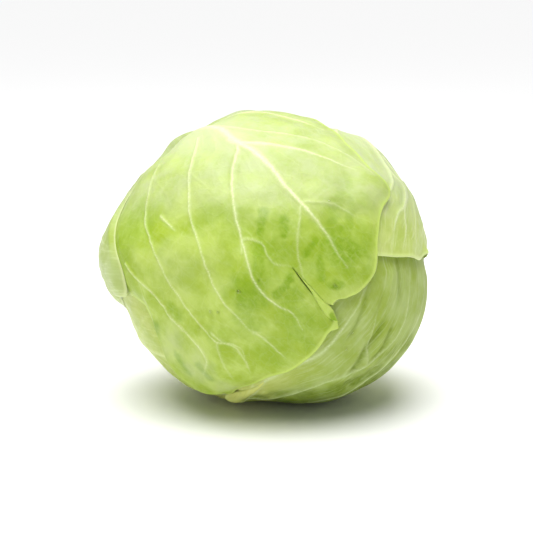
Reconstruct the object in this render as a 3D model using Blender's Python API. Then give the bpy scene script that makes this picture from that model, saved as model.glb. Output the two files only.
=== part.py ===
"""A cabbage head lying on its side: six wrapper leaves round the packed heart, and the cut stem.

Each wrapper leaf is drawn flat at its real size, then wrapped round the head over the leaves below.
+X is to the right and -Y to the front. The origin is the middle of the flat spot it rests on.
"""

import math
from typing import NamedTuple

import bmesh
import bpy
import numpy as np
from mathutils import Matrix, Vector

MM = 0.001

# All lengths below are in mm.

# The head's outline, seen from the front and a little above: its radius every 20 degrees,
# anticlockwise from the right.
OUTLINE_RADII = (84.5, 83.0, 81.6, 77.2, 75.4, 75.9, 73.2, 77.0, 79.5,
                 86.0, 80.6, 79.6, 81.4, 75.0, 77.8, 85.4, 90.0, 89.5)
OUTLINE_LEAN = math.radians(12)  # how far above level that view is
DEPTH_FRONT = 76.0  # from the head's centre to its front in that view, and to its back
DEPTH_BACK = 74.0
CENTRE = (0.0, 0.0, 76.5)  # the head's centre, over the flat spot
FLAT_DEPTH = 78.0  # from the centre down to where the heart would be cut flat
FLAT_BLEND = 2.0  # how round the rim of the flat is
LEVEL = 0.05  # the least downward slope that still counts as going down to the flat

# The head's own axis runs level from the stem at the back to the apex at the front.
AXIS_TURN = math.radians(22)  # from straight ahead towards the right

# How the leaves lie on the heart and on each other.
HEART_INSET = 4.6  # from the outline to the heart
BACK_INSET = 3.5  # how much deeper the heart lies towards the stem, where more leaves cross
STEM_DIP = 5.0  # the hollow that the stem stands in
STEM_DIP_SPREAD = math.radians(24)
LEAF_GAP = 1.0
# The leaf on top comes down from a margin between these two distances outside it.
SKIRT_START = 4.0
SKIRT = 24.0
WRAP_RADIUS = 78.0  # the drawings' mm in one radian round the head

# The leaves themselves.
BLADE = 1.1  # thickness
RIB_TIP_WIDTH = 6.0  # the midrib's half width at its tip
RIB_WIDENING = 8.0  # and how much wider it is at its root
RIB_TAPER = 1.6  # the power by which its height falls along it
RIB_RIDGE = 0.5  # the height that falls evenly instead
LEAF_RINGS = 12
ROUNDING = 36.0  # degrees to each side over which the inner rings even out the margin's shape
MARGIN_SAMPLES = 720
MARGIN_RIPPLE = ((9, 0.8), (14, 0.6), (23, 0.4))  # waves round the margin, and the height of each
FLUTTER_WAVES = 11
FLUTTER_REACH = 20.0  # how far in from the margin it waves up and down
SLIT_GAP = 1.2  # half the tear's width at the margin

# The stem's stub.
STEM_RADIUS = 15.0
STEM_LENGTH = 9.5
STEM_CLEAR = 2.0  # from the heart to the stub
STEM_BEVEL = 1.2
STEM_SIDES = 30
STEM_SCARS = 5
SCAR_DEPTH = 0.06  # as a share of the radius

UP = np.array((0.0, 0.0, 1.0))
APEX = np.array((math.sin(AXIS_TURN), -math.cos(AXIS_TURN), 0.0))
BESIDE = np.cross(UP, APEX)
VIEW_RIGHT = np.array((1.0, 0.0, 0.0))
VIEW_UP = np.array((0.0, math.sin(OUTLINE_LEAN), math.cos(OUTLINE_LEAN)))
VIEW_FRONT = np.array((0.0, -math.cos(OUTLINE_LEAN), math.sin(OUTLINE_LEAN)))


class Leaf(NamedTuple):
    """One wrapper leaf, drawn flat in mm from its middle, with its tip up and its outer side shown."""

    name: str
    colour: tuple
    from_apex: float  # degrees from the apex to the leaf's middle
    bearing: float  # degrees clockwise from straight up, round the axis, seen from the apex
    edge: tuple  # points round the margin
    rib: tuple  # the midrib's line, from base to tip
    rib_height: float  # at the base
    bumps: tuple = ()  # (x, y, height, reach) of each place where the leaf stands off
    slit: tuple = ()  # (degrees, first ring) of a tear that runs out to the margin
    flutter: float = 0.0  # how far the margin waves
    seed: int = 0


LEAVES = (
    Leaf(
        "leaf_left_under", (0.50, 0.62, 0.20), 75, 240,
        edge=((0, 66), (38, 68), (72, 54), (88, 14), (84, -38), (64, -88), (36, -116), (0, -116),
              (-34, -116), (-64, -88), (-84, -40), (-90, 8), (-72, 46), (-38, 62)),
        rib=((0, -116), (2, -50), (6, 0), (10, 50)),
        rib_height=3.4, seed=1,
    ),
    Leaf(
        "leaf_right_under", (0.46, 0.60, 0.26), 68, 165,
        edge=((0, 122), (44, 116), (82, 92), (104, 56), (106, 8), (92, -48), (66, -98), (36, -126),
              (0, -125), (-38, -126), (-62, -94), (-62, -48), (-55, -4), (-62, 36), (-60, 76),
              (-38, 108)),
        rib=((-6, -126), (-32, -60), (-45, 1), (-43, 26), (-26, 46), (-5, 59), (20, 71), (40, 82),
             (46, 94)),
        rib_height=3.4, bumps=((-46, 0, 3.4, 7.5),), seed=2,
    ),
    Leaf(
        "leaf_right_over", (0.56, 0.68, 0.30), 85, 35,
        edge=((30, 92), (64, 74), (86, 34), (88, -18), (68, -66), (38, -102), (0, -101), (-34, -102),
              (-68, -74), (-86, -32), (-82, 12), (-61, 46), (-52, 59), (-40, 72), (-30, 82), (-20, 87),
              (4, 94)),
        rib=((0, -102), (2, -50), (-6, 5), (-22, 36), (-25, 52), (-23, 64), (-30, 78)),
        rib_height=3.4, bumps=((-66, 42, 1.8, 9.0), (-44, 68, 0.8, 9.0), (-6, 6, 3.4, 15.0)),
        flutter=0.4, seed=3,
    ),
    Leaf(
        "leaf_back_right", (0.50, 0.62, 0.28), 105, 120,
        edge=((0, 38), (30, 34), (60, 30), (84, 12), (86, -20), (62, -60), (34, -76), (0, -76),
              (-32, -77), (-66, -60), (-98, -22), (-104, 4), (-90, 22), (-58, 34), (-22, 40)),
        rib=((0, -77), (2, -30), (0, 10), (-4, 44)),
        rib_height=3.4, seed=4,
    ),
    Leaf(
        "leaf_front", (0.60, 0.74, 0.28), 66, -48,
        edge=((5, 99), (13, 105), (24, 108), (38, 107), (51, 104), (69, 97), (87, 84), (104, 68),
              (109, 50), (106, 34), (97, 23), (85, 14), (75, 5), (70, -6), (70, -20), (76, -48),
              (66, -92), (38, -129), (0, -129), (-40, -129), (-70, -92), (-84, -46), (-88, -6),
              (-84, 40), (-80, 62), (-76, 70), (-67, 76), (-56, 83), (-43, 92), (-36, 98),
              (-25, 103), (-12, 104)),
        rib=((-4, -129), (-24, -60), (-32, -8), (-32, 14), (-28, 45), (-23, 70), (-18, 90)),
        rib_height=3.4, bumps=((-80, 66, 1.8, 12.0), (0, 92, 2.0, 11.0)), slit=(86, 8),
        flutter=0.5, seed=5,
    ),
    Leaf(
        "leaf_back_left", (0.54, 0.68, 0.26), 135, -60,
        edge=((0, 37), (18, 48), (31, 60), (42, 67), (56, 65), (62, 42), (70, 10), (66, -18), (44, -38),
              (0, -37), (-24, -38), (-54, -32), (-78, -6), (-84, 12), (-72, 25), (-50, 31), (-24, 33)),
        rib=((0, -38), (2, -18), (4, 10), (4, 42)),
        rib_height=3.4, bumps=((54, 58, 1.0, 8.0),), flutter=0.2, seed=6,
    ),
)


def clear_scene():
    """Removes every object, so that only the cabbage is left."""
    for obj in list(bpy.data.objects):
        bpy.data.objects.remove(obj)


def smooth_step(value):
    """0 below 0, 1 above 1, and a smooth rise between them."""
    held = np.clip(value, 0.0, 1.0)
    return held * held * (3.0 - 2.0 * held)


def round_curve(angles, values, at):
    """A smooth closed curve through the values given at rising angles in radians, read at others."""
    turn = 2.0 * math.pi
    knots = np.concatenate(([angles[-1] - turn], angles, [angles[0] + turn, angles[1] + turn]))
    heights = np.concatenate(([values[-1]], values, [values[0], values[1]]))
    slopes = np.gradient(heights, knots)
    folded = np.mod(at - angles[0], turn) + angles[0]
    index = np.clip(np.searchsorted(knots, folded, side="right") - 1, 1, len(knots) - 3)
    span = knots[index + 1] - knots[index]
    share = (folded - knots[index]) / span
    rest = 1.0 - share
    return (
        heights[index] * (1.0 + 2.0 * share) * rest**2
        + heights[index + 1] * share**2 * (3.0 - 2.0 * share)
        + slopes[index] * span * share * rest**2
        - slopes[index + 1] * span * share**2 * rest
    )


def heart_radius(ways):
    """The packed heart's radius in mm along each unit vector from the head's centre."""
    right, up, front = ways @ VIEW_RIGHT, ways @ VIEW_UP, ways @ VIEW_FRONT
    steps = np.radians(np.arange(len(OUTLINE_RADII)) * 360.0 / len(OUTLINE_RADII))
    outline = round_curve(steps, np.array(OUTLINE_RADII), np.arctan2(up, right))
    depth = np.where(front > 0.0, DEPTH_FRONT, DEPTH_BACK)
    ball = 1.0 / np.sqrt((np.hypot(right, up) / outline) ** 2 + (front / depth) ** 2)
    floor = FLAT_DEPTH / np.maximum(-ways[:, 2], LEVEL)
    lower = np.minimum(ball, floor)
    flattened = lower - FLAT_BLEND * np.log1p(np.exp(-np.abs(ball - floor) / FLAT_BLEND))
    from_stem = np.arccos(np.clip(-ways @ APEX, -1.0, 1.0))
    dip = STEM_DIP * np.exp(-((from_stem / STEM_DIP_SPREAD) ** 2))
    return flattened - HEART_INSET - BACK_INSET * smooth_step(-ways @ APEX) - dip


def leaf_axes(leaf):
    """Unit vectors to the leaf's middle, to the right across its drawing, and up it."""
    bearing, polar = math.radians(leaf.bearing), math.radians(leaf.from_apex)
    outward = math.cos(bearing) * UP + math.sin(bearing) * BESIDE
    middle = math.cos(polar) * APEX + math.sin(polar) * outward
    upward = math.sin(polar) * APEX - math.cos(polar) * outward
    return middle, np.cross(upward, middle), upward


def wrapped(leaf, drawing):
    """Unit vectors from the head's centre to the points of a leaf's flat drawing."""
    middle, across, upward = leaf_axes(leaf)
    reach = np.hypot(drawing[:, 0], drawing[:, 1])
    arc = reach / WRAP_RADIUS
    share = np.sin(arc) / np.maximum(reach, 1e-9)
    return (
        np.cos(arc)[:, None] * middle
        + (drawing[:, 0] * share)[:, None] * across
        + (drawing[:, 1] * share)[:, None] * upward
    )


def unwrapped(leaf, ways):
    """The points of a leaf's flat drawing that lie along each unit vector."""
    middle, across, upward = leaf_axes(leaf)
    x, y = ways @ across, ways @ upward
    sideways = np.hypot(x, y)
    reach = np.arctan2(sideways, ways @ middle) * WRAP_RADIUS
    share = reach / np.maximum(sideways, 1e-9)
    return np.column_stack((x * share, y * share))


def margin_reach(leaf, angles):
    """How far the leaf's margin is from its middle in mm, at each angle of its drawing."""
    points = np.array(leaf.edge, float)
    turned = np.mod(np.arctan2(points[:, 1], points[:, 0]), 2.0 * math.pi)
    order = np.argsort(turned)
    smooth = round_curve(turned[order], np.hypot(points[order, 0], points[order, 1]), angles)
    phases = np.random.default_rng(leaf.seed).uniform(0.0, 2.0 * math.pi, len(MARGIN_RIPPLE))
    ripple = sum(
        height * np.sin(waves * angles + phase)
        for (waves, height), phase in zip(MARGIN_RIPPLE, phases)
    )
    return smooth + ripple


def sheet_point(leaf, share, turns, start_turn):
    """The drawing's points at these shares of the way to the margin and at these turns round it.

    The margin's points are spaced evenly along it, and the inner rings are rounder than the margin.
    """
    spread = start_turn + np.linspace(0.0, 2.0 * math.pi, MARGIN_SAMPLES + 1)
    reach = margin_reach(leaf, spread)
    margin = np.column_stack((reach * np.cos(spread), reach * np.sin(spread)))
    steps = np.hypot(*np.diff(margin, axis=0).T)
    along = np.concatenate(([0.0], np.cumsum(steps))) / steps.sum()
    rim = np.column_stack([np.interp(turns, along, margin[:, axis]) for axis in (0, 1)])
    angles = start_turn + turns * 2.0 * math.pi
    nearby = np.radians(np.linspace(-ROUNDING, ROUNDING, 9))
    rounded = margin_reach(leaf, angles[:, None] + nearby[None, :]).mean(axis=1)
    round_rim = np.column_stack((rounded * np.cos(angles), rounded * np.sin(angles)))
    return share[:, None] * (round_rim + (rim - round_rim) * share[:, None] ** 2)


def distance_to_line(points, line):
    """The distance from each point to a line, and how far along the line that is, 0 to 1."""
    corners = np.array(line, float)
    steps = np.diff(corners, axis=0)
    lengths = np.hypot(steps[:, 0], steps[:, 1])
    starts = np.concatenate(([0.0], np.cumsum(lengths)[:-1]))
    best = np.full(len(points), np.inf)
    along = np.zeros(len(points))
    for corner, step, length, start in zip(corners, steps, lengths, starts):
        share = np.clip(((points - corner) @ step) / length**2, 0.0, 1.0)
        offset = points - corner - share[:, None] * step
        distance = np.hypot(offset[:, 0], offset[:, 1])
        along = np.where(distance < best, start + share * length, along)
        best = np.minimum(best, distance)
    return best, np.minimum(along / lengths.sum(), 1.0)


def thickness(leaf, drawing):
    """The leaf's thickness in mm: a thin blade, with a broad midrib that fades towards the tip."""
    distance, along = distance_to_line(drawing, leaf.rib)
    height = leaf.rib_height * (1.0 - along) ** RIB_TAPER + RIB_RIDGE * (1.0 - along)
    width = RIB_TIP_WIDTH + RIB_WIDENING * (1.0 - along)
    return BLADE + height * np.exp(-((distance / width) ** 2))


def stand_off(leaf, drawing):
    """How far the leaf stands off what it lies on, in mm: its bumps, and a flutter near the margin."""
    angles = np.arctan2(drawing[:, 1], drawing[:, 0])
    inside = margin_reach(leaf, angles) - np.hypot(drawing[:, 0], drawing[:, 1])
    near_margin = smooth_step(1.0 - np.abs(inside) / FLUTTER_REACH)
    raised = leaf.flutter * near_margin * (0.5 + 0.5 * np.sin(FLUTTER_WAVES * angles + leaf.seed))
    for x, y, height, reach in leaf.bumps:
        away = np.hypot(drawing[:, 0] - x, drawing[:, 1] - y)
        raised = raised + height * np.exp(-((away / reach) ** 2))
    return raised


def cover(leaf, drawing):
    """1 where the leaf lies, falling to 0 outside it, where the leaf on top bridges the step."""
    angles = np.arctan2(drawing[:, 1], drawing[:, 0])
    outside = np.hypot(drawing[:, 0], drawing[:, 1]) - margin_reach(leaf, angles)
    return 1.0 - smooth_step((outside - SKIRT_START) / (SKIRT - SKIRT_START))


def pile_radius(index, ways):
    """The radius in mm of the top of the heart and of all the leaves before leaf number index."""
    radius = heart_radius(ways)
    for leaf in LEAVES[:index]:
        drawing = unwrapped(leaf, ways)
        layer = LEAF_GAP + thickness(leaf, drawing) + stand_off(leaf, drawing)
        radius = radius + cover(leaf, drawing) * layer
    return radius


def inner_radius(index, ways):
    """The radius in mm of the inner side of leaf number index."""
    leaf = LEAVES[index]
    return pile_radius(index, ways) + LEAF_GAP + stand_off(leaf, unwrapped(leaf, ways))


def layers_over(index, ways):
    """The height in mm that the leaves over leaf number index need under it where the head rests."""
    room = np.zeros(len(ways))
    for leaf in LEAVES[index + 1:]:
        room = room + cover(leaf, unwrapped(leaf, ways)) * (LEAF_GAP + BLADE)
    return room


def placed(ways, radii, lowest):
    """Points in metres at these radii in mm from the centre, and no lower than these heights in mm."""
    points = np.array(CENTRE) + ways * radii[:, None]
    points[:, 2] = np.maximum(points[:, 2], lowest)
    return points * MM


def hexagon_place(point):
    """How far out a point of a unit hexagon is, 0 to 1, and its place round it in turns."""
    sixth = math.pi / 3.0
    sector = int(math.floor(math.atan2(point.y, point.x) / sixth + 1e-6)) % 6
    first = Vector((math.cos(sector * sixth), math.sin(sector * sixth)))
    second = Vector((math.cos((sector + 1) * sixth), math.sin((sector + 1) * sixth)))
    area = first.x * second.y - first.y * second.x
    along_first = (point.x * second.y - point.y * second.x) / area
    along_second = (first.x * point.y - first.y * point.x) / area
    total = along_first + along_second
    return total, (sector + along_second / max(total, 1e-6)) / 6.0


def leaf_sheet(leaf, rings):
    """A disc of even triangles, torn open at the slit, and its vertices' points on the drawing."""
    sheet = bmesh.new()
    bmesh.ops.create_circle(sheet, segments=6, radius=1.0, cap_ends=True, cap_tris=True)
    for vertex in sheet.verts:
        turned = math.atan2(vertex.co.x, vertex.co.y)
        if vertex.co.length > 0.5:
            vertex.co = Vector((math.cos(turned), math.sin(turned), 0.0))
    bmesh.ops.subdivide_edges(sheet, edges=sheet.edges[:], cuts=rings - 1, use_grid_fill=True)
    start_turn = math.radians(leaf.slit[0]) if leaf.slit else math.radians(-90.0)
    if leaf.slit:
        torn = [
            edge for edge in sheet.edges
            if all(abs(v.co.y) < 1e-6 and v.co.x > (leaf.slit[1] - 0.5) / rings for v in edge.verts)
        ]
        bmesh.ops.split_edges(sheet, edges=torn)
    places = np.array([hexagon_place(vertex.co) for vertex in sheet.verts])
    drawing = sheet_point(leaf, places[:, 0], places[:, 1], start_turn)
    if leaf.slit:
        aside = np.array((-math.sin(start_turn), math.cos(start_turn)))
        start = leaf.slit[1] / rings
        for number, vertex in enumerate(sheet.verts):
            if abs(vertex.co.y) < 1e-6 and vertex.co.x > start + 1e-6:
                middles = [face.calc_center_median().y for face in vertex.link_faces]
                side = math.copysign(1.0, sum(middles))
                drawing[number] += aside * side * SLIT_GAP * (vertex.co.x - start) / (1.0 - start)
    return sheet, drawing


def make_material(name, colour, roughness):
    """A plain plant finish."""
    material = bpy.data.materials.new(name)
    material.use_nodes = True
    shader = material.node_tree.nodes["Principled BSDF"]
    shader.inputs["Base Color"].default_value = (*colour, 1.0)
    shader.inputs["Roughness"].default_value = roughness
    shader.inputs["Metallic"].default_value = 0.0
    material.diffuse_color = (*colour, 1.0)
    return material


def add_object(name, shape, material):
    """Makes an object from a bmesh, shaded smooth."""
    mesh = bpy.data.meshes.new(name)
    shape.to_mesh(mesh)
    shape.free()
    mesh.shade_smooth()
    mesh.materials.append(material)
    obj = bpy.data.objects.new(name, mesh)
    bpy.context.scene.collection.objects.link(obj)
    return obj


def make_leaf(index):
    """One wrapper leaf: its outer side, the same triangles as its inner side, and its rim."""
    leaf = LEAVES[index]
    sheet, drawing = leaf_sheet(leaf, LEAF_RINGS)
    ways = wrapped(leaf, drawing)
    inner = inner_radius(index, ways)
    lowest = layers_over(index, ways)
    outer_points = placed(ways, inner + thickness(leaf, drawing), lowest)
    inner_points = placed(ways, inner, lowest + BLADE)
    outer_faces = sheet.faces[:]
    rim = [edge for edge in sheet.edges if edge.is_boundary]
    twins = [sheet.verts.new(point) for point in inner_points]
    sheet.verts.index_update()
    for vertex, point in zip(sheet.verts[:len(twins)], outer_points):
        vertex.co = point
    for face in outer_faces:
        sheet.faces.new([twins[vertex.index] for vertex in reversed(face.verts)])
    for edge in rim:
        loop = edge.link_loops[0]
        first, second = loop.link_loop_next.vert, loop.vert
        sheet.faces.new((first, second, twins[second.index]))
        sheet.faces.new((first, twins[second.index], twins[first.index]))
    if sheet.calc_volume(signed=True) < 0.0:
        bmesh.ops.reverse_faces(sheet, faces=sheet.faces[:])
    return add_object(leaf.name, sheet, make_material(leaf.name, leaf.colour, 0.5))


def make_heart():
    """The inner leaves, packed into one tight ball."""
    ball = bmesh.new()
    bmesh.ops.create_icosphere(ball, subdivisions=4, radius=1.0)
    ways = np.array([vertex.co.normalized() for vertex in ball.verts])
    points = placed(ways, heart_radius(ways), layers_over(-1, ways) + LEAF_GAP)
    for vertex, point in zip(ball.verts, points):
        vertex.co = point
    return add_object("heart", ball, make_material("heart", (0.72, 0.80, 0.46), 0.5))


def make_stem():
    """The stem's stub, cut square at the back, ribbed by the scars of leaves that were trimmed off."""
    way = -APEX
    heart = float(heart_radius(way[None, :])[0])
    near, far = heart + STEM_CLEAR, heart + STEM_LENGTH
    stub = bmesh.new()
    bmesh.ops.create_cone(
        stub, cap_ends=True, segments=STEM_SIDES, radius1=STEM_RADIUS, radius2=STEM_RADIUS,
        depth=far - near,
    )
    rims = [edge for edge in stub.edges if len({round(v.co.z, 3) for v in edge.verts}) == 1]
    bmesh.ops.bevel(stub, geom=rims, offset=STEM_BEVEL, segments=2, affect="EDGES", profile=0.5)
    for vertex in stub.verts:
        lobe = 1.0 + SCAR_DEPTH * math.cos(STEM_SCARS * math.atan2(vertex.co.y, vertex.co.x))
        vertex.co.x *= lobe
        vertex.co.y *= lobe
    stem = add_object("stem", stub, make_material("stem", (0.80, 0.84, 0.62), 0.6))
    stem.data.transform(Vector(way).to_track_quat("Z", "Y").to_matrix().to_4x4())
    shift = Matrix.Translation(Vector(CENTRE) + Vector(way * (near + far) / 2.0))
    stem.data.transform(Matrix.Scale(MM, 4) @ shift)
    return stem


def main():
    clear_scene()
    make_heart()
    make_stem()
    for index in range(len(LEAVES)):
        make_leaf(index)


main()
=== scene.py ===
"""A cabbage head lying on its side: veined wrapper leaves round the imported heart, and the cut stem."""

import logging
import math
from dataclasses import dataclass
from enum import Enum, IntEnum

import bpy
import numpy as np
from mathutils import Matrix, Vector


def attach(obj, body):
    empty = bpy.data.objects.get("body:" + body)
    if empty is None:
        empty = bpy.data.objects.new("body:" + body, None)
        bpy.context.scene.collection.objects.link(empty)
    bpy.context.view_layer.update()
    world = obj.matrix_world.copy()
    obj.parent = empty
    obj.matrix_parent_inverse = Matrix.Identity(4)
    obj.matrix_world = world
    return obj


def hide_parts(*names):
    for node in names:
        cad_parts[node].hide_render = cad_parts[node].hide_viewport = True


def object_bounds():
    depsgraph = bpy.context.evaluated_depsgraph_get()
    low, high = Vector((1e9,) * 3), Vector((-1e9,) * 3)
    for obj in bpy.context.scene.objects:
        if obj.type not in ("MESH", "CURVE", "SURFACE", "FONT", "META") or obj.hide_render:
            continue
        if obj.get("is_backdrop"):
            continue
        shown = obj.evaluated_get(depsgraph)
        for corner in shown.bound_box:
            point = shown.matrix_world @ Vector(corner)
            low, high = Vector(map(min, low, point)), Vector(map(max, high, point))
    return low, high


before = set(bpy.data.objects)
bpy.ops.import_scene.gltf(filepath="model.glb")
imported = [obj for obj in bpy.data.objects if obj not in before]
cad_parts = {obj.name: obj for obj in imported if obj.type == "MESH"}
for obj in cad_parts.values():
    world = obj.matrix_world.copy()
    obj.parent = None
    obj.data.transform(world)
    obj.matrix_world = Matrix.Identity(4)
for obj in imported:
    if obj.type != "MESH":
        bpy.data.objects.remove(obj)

LOG = logging.getLogger("cabbage")

Point = tuple[float, float]
Line = tuple[Point, ...]
Triple = tuple[float, float, float]
Colour = Triple
Spot = tuple[float, float, float, float]  # x and y of something on a leaf, and two numbers about it
Range = tuple[float, ...]  # where something starts and ends, and if need be its value there
Socket = bpy.types.NodeSocket

MM = 0.001
BODY = "root"
UP = np.array((0.0, 0.0, 1.0))
TURN = 2.0 * math.pi
TINY = 1e-9  # keeps a division from meeting zero
MAP_UNIT = 100.0  # mm of a leaf for each unit of its maps
NOISE_CELLS = 64  # the noise repeats after this many hills
NOISE_SHIFT = 17.3  # moves the noise's lines off the leaf's middle


class Attribute(Enum):
    """The values that each vertex of a leaf carries for its finish."""

    VEIN = "vein"  # 1 on a vein's crest, 0 off it
    PATCH = "patch"  # 1 in the middle of darker green patches and stains, and where painted shade darkens valleys and the underside band
    RIM = "rim"  # 1 on the margin, 0 a few mm inside it
    BASE = "base"  # 1 at the stalk's end of the leaf, 0 at its tip
    BLOOM = "bloom"  # 1 on the head's upper side, where a sheen of the overhead light is painted in, and in paler spots that are partly waxy bloom and partly painted light


class UVName(Enum):
    """The maps that a leaf's patterns follow."""

    FLAT = "flat"  # the leaf laid flat
    GRAIN = "grain"  # across and along the midrib


class Seed(IntEnum):
    """What is added to a leaf's seed for each of its random patterns."""

    CURL = 3
    WAVE = 5
    RIPPLE = 6
    SPOTS = 9
    STAINS = 10
    SWAY_X = 11
    SWAY_Y = 12
    GROWTH = 40


def smooth_step(value: np.ndarray) -> np.ndarray:
    """Returns 0 below 0, 1 above 1, and a smooth rise between them."""
    held = np.clip(value, 0.0, 1.0)
    return held * held * (3.0 - 2.0 * held)


def round_curve(angles: np.ndarray, values: np.ndarray, at: np.ndarray) -> np.ndarray:
    """Reads a smooth closed curve.

    Args:
        angles: Rising angles in radians, within one turn.
        values: The curve's value at each of them.
        at: The angles to read it at.

    Returns:
        The value at each angle asked for.
    """
    knots = np.concatenate(([angles[-1] - TURN], angles, [angles[0] + TURN, angles[1] + TURN]))
    heights = np.concatenate(([values[-1]], values, [values[0], values[1]]))
    slopes = np.gradient(heights, knots)
    folded = np.mod(at - angles[0], TURN) + angles[0]
    index = np.clip(np.searchsorted(knots, folded, side="right") - 1, 1, len(knots) - 3)
    span = knots[index + 1] - knots[index]
    share = (folded - knots[index]) / span
    rest = 1.0 - share
    return (
        heights[index] * (1.0 + 2.0 * share) * rest**2
        + heights[index + 1] * share**2 * (3.0 - 2.0 * share)
        + slopes[index] * span * share * rest**2
        - slopes[index + 1] * span * share**2 * rest
    )


def soft_noise(points: np.ndarray, size: float, seed: int) -> np.ndarray:
    """Makes smooth seeded noise between -1 and 1.

    Args:
        points: Points in mm.
        size: How far apart its hills are, in mm.
        seed: Which noise.

    Returns:
        Its height at each point.
    """
    count = NOISE_CELLS
    lattice = np.random.default_rng(seed).uniform(-1.0, 1.0, (count, count))
    scaled = points / size + NOISE_SHIFT
    cell = np.floor(scaled).astype(int)
    part = smooth_step(scaled - cell)
    x0, y0 = cell[:, 0] % count, cell[:, 1] % count
    x1, y1 = (x0 + 1) % count, (y0 + 1) % count
    low = lattice[x0, y0] * (1.0 - part[:, 0]) + lattice[x1, y0] * part[:, 0]
    high = lattice[x0, y1] * (1.0 - part[:, 0]) + lattice[x1, y1] * part[:, 0]
    return low * (1.0 - part[:, 1]) + high * part[:, 1]


def softened(line: Line, step: float) -> np.ndarray:
    """Draws a smooth line through a few points.

    Args:
        line: The points in mm.
        step: How far apart the new points are, in mm.

    Returns:
        The new points in order, one row each.
    """
    points = np.array(line, float)
    ends = np.vstack((2.0 * points[0] - points[1], points, 2.0 * points[-1] - points[-2]))
    drawn = []
    for before, start, end, after in zip(ends, ends[1:], ends[2:], ends[3:]):
        count = max(2, int(math.ceil(np.linalg.norm(end - start) / step)))
        share = np.arange(count)[:, None] / count
        drawn.append(
            0.5 * (
                2.0 * start
                + (end - before) * share
                + (2.0 * before - 5.0 * start + 4.0 * end - after) * share**2
                + (3.0 * start - before - 3.0 * end + after) * share**3
            )
        )
    drawn.append(points[-1:])
    return np.vstack(drawn)


def distance_to_line(points: np.ndarray, line: np.ndarray) -> tuple[np.ndarray, np.ndarray, np.ndarray]:
    """Measures points against a line.

    Args:
        points: The points.
        line: The line's corners in order.

    Returns:
        Each point's distance, how far along the line it is from 0 to 1, and the side it is on.
    """
    corners = np.array(line, float)
    steps = np.diff(corners, axis=0)
    lengths = np.hypot(steps[:, 0], steps[:, 1])
    starts = np.concatenate(([0.0], np.cumsum(lengths)[:-1]))
    best = np.full(len(points), np.inf)
    along = np.zeros(len(points))
    side = np.ones(len(points))
    for corner, step, length, start in zip(corners, steps, lengths, starts):
        share = np.clip(((points - corner) @ step) / length**2, 0.0, 1.0)
        offset = points - corner - share[:, None] * step
        distance = np.hypot(offset[:, 0], offset[:, 1])
        nearer = distance < best
        along = np.where(nearer, start + share * length, along)
        side = np.where(nearer, np.sign(step[0] * offset[:, 1] - step[1] * offset[:, 0]), side)
        best = np.minimum(best, distance)
    return best, np.minimum(along / lengths.sum(), 1.0), side


@dataclass(frozen=True)
class HeadForm:
    """The head's overall shape, in mm, as the solids have it."""

    outline: tuple[float, ...] = (84.5, 83.0, 81.6, 77.2, 75.4, 75.9, 73.2, 77.0, 79.5,
                                  86.0, 80.6, 79.6, 81.4, 75.0, 77.8, 85.4, 90.0, 89.5)
    lean: float = math.radians(12)
    depth_front: float = 76.0
    depth_back: float = 74.0
    centre: Triple = (0.0, 0.0, 76.5)
    flat_depth: float = 78.0
    flat_blend: float = 2.0
    level: float = 0.05
    axis_turn: float = math.radians(22)
    heart_inset: float = 4.6
    back_inset: float = 3.5
    stem_dip: float = 5.0
    stem_dip_spread: float = math.radians(24)
    wrap_radius: float = 78.0

    @property
    def apex(self) -> np.ndarray:
        """Returns the way from the head's centre to its apex."""
        return np.array((math.sin(self.axis_turn), -math.cos(self.axis_turn), 0.0))

    @property
    def view_up(self) -> np.ndarray:
        """Returns the way up in the view that the outline is drawn in."""
        return np.array((0.0, math.sin(self.lean), math.cos(self.lean)))

    @property
    def view_front(self) -> np.ndarray:
        """Returns the way to the viewer in the view that the outline is drawn in."""
        return np.array((0.0, -math.cos(self.lean), math.sin(self.lean)))

    def heart_radius(self, ways: np.ndarray) -> np.ndarray:
        """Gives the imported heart's size.

        Args:
            ways: Unit vectors from the head's centre.

        Returns:
            Its radius in mm along each of them.
        """
        right, up, front = ways[:, 0], ways @ self.view_up, ways @ self.view_front
        steps = np.arange(len(self.outline)) * TURN / len(self.outline)
        outline = round_curve(steps, np.array(self.outline), np.arctan2(up, right))
        depth = np.where(front > 0.0, self.depth_front, self.depth_back)
        ball = 1.0 / np.sqrt((np.hypot(right, up) / outline) ** 2 + (front / depth) ** 2)
        floor = self.flat_depth / np.maximum(-ways[:, 2], self.level)
        blend = np.log1p(np.exp(-np.abs(ball - floor) / self.flat_blend))
        flattened = np.minimum(ball, floor) - self.flat_blend * blend
        from_stem = np.arccos(np.clip(-ways @ self.apex, -1.0, 1.0))
        dip = self.stem_dip * np.exp(-((from_stem / self.stem_dip_spread) ** 2))
        return flattened - self.heart_inset - self.back_inset * smooth_step(-ways @ self.apex) - dip

    def placed(self, ways: np.ndarray, radii: np.ndarray, lowest: np.ndarray) -> np.ndarray:
        """Turns radii into places.

        Args:
            ways: Unit vectors from the head's centre.
            radii: The distance from it along each, in mm.
            lowest: The least height of each point, in mm.

        Returns:
            The points in metres.
        """
        points = np.array(self.centre) + ways * radii[:, None]
        points[:, 2] = np.maximum(points[:, 2], lowest)
        return points * MM


@dataclass(frozen=True)
class Vein:
    """One vein of a leaf: a tapering ridge, paler than the blade. Lengths are in mm."""

    line: Line
    root: float  # half its width where it starts
    tip: float  # and where it ends
    height: float  # where it starts
    pale: float = 1.0  # how far it has the finish's vein colour, 0 to 1


@dataclass(frozen=True)
class Fold:
    """A soft ridge of a leaf, or a valley where its height is below 0. Lengths are in mm."""

    line: Line
    reach: float
    height: float


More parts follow.
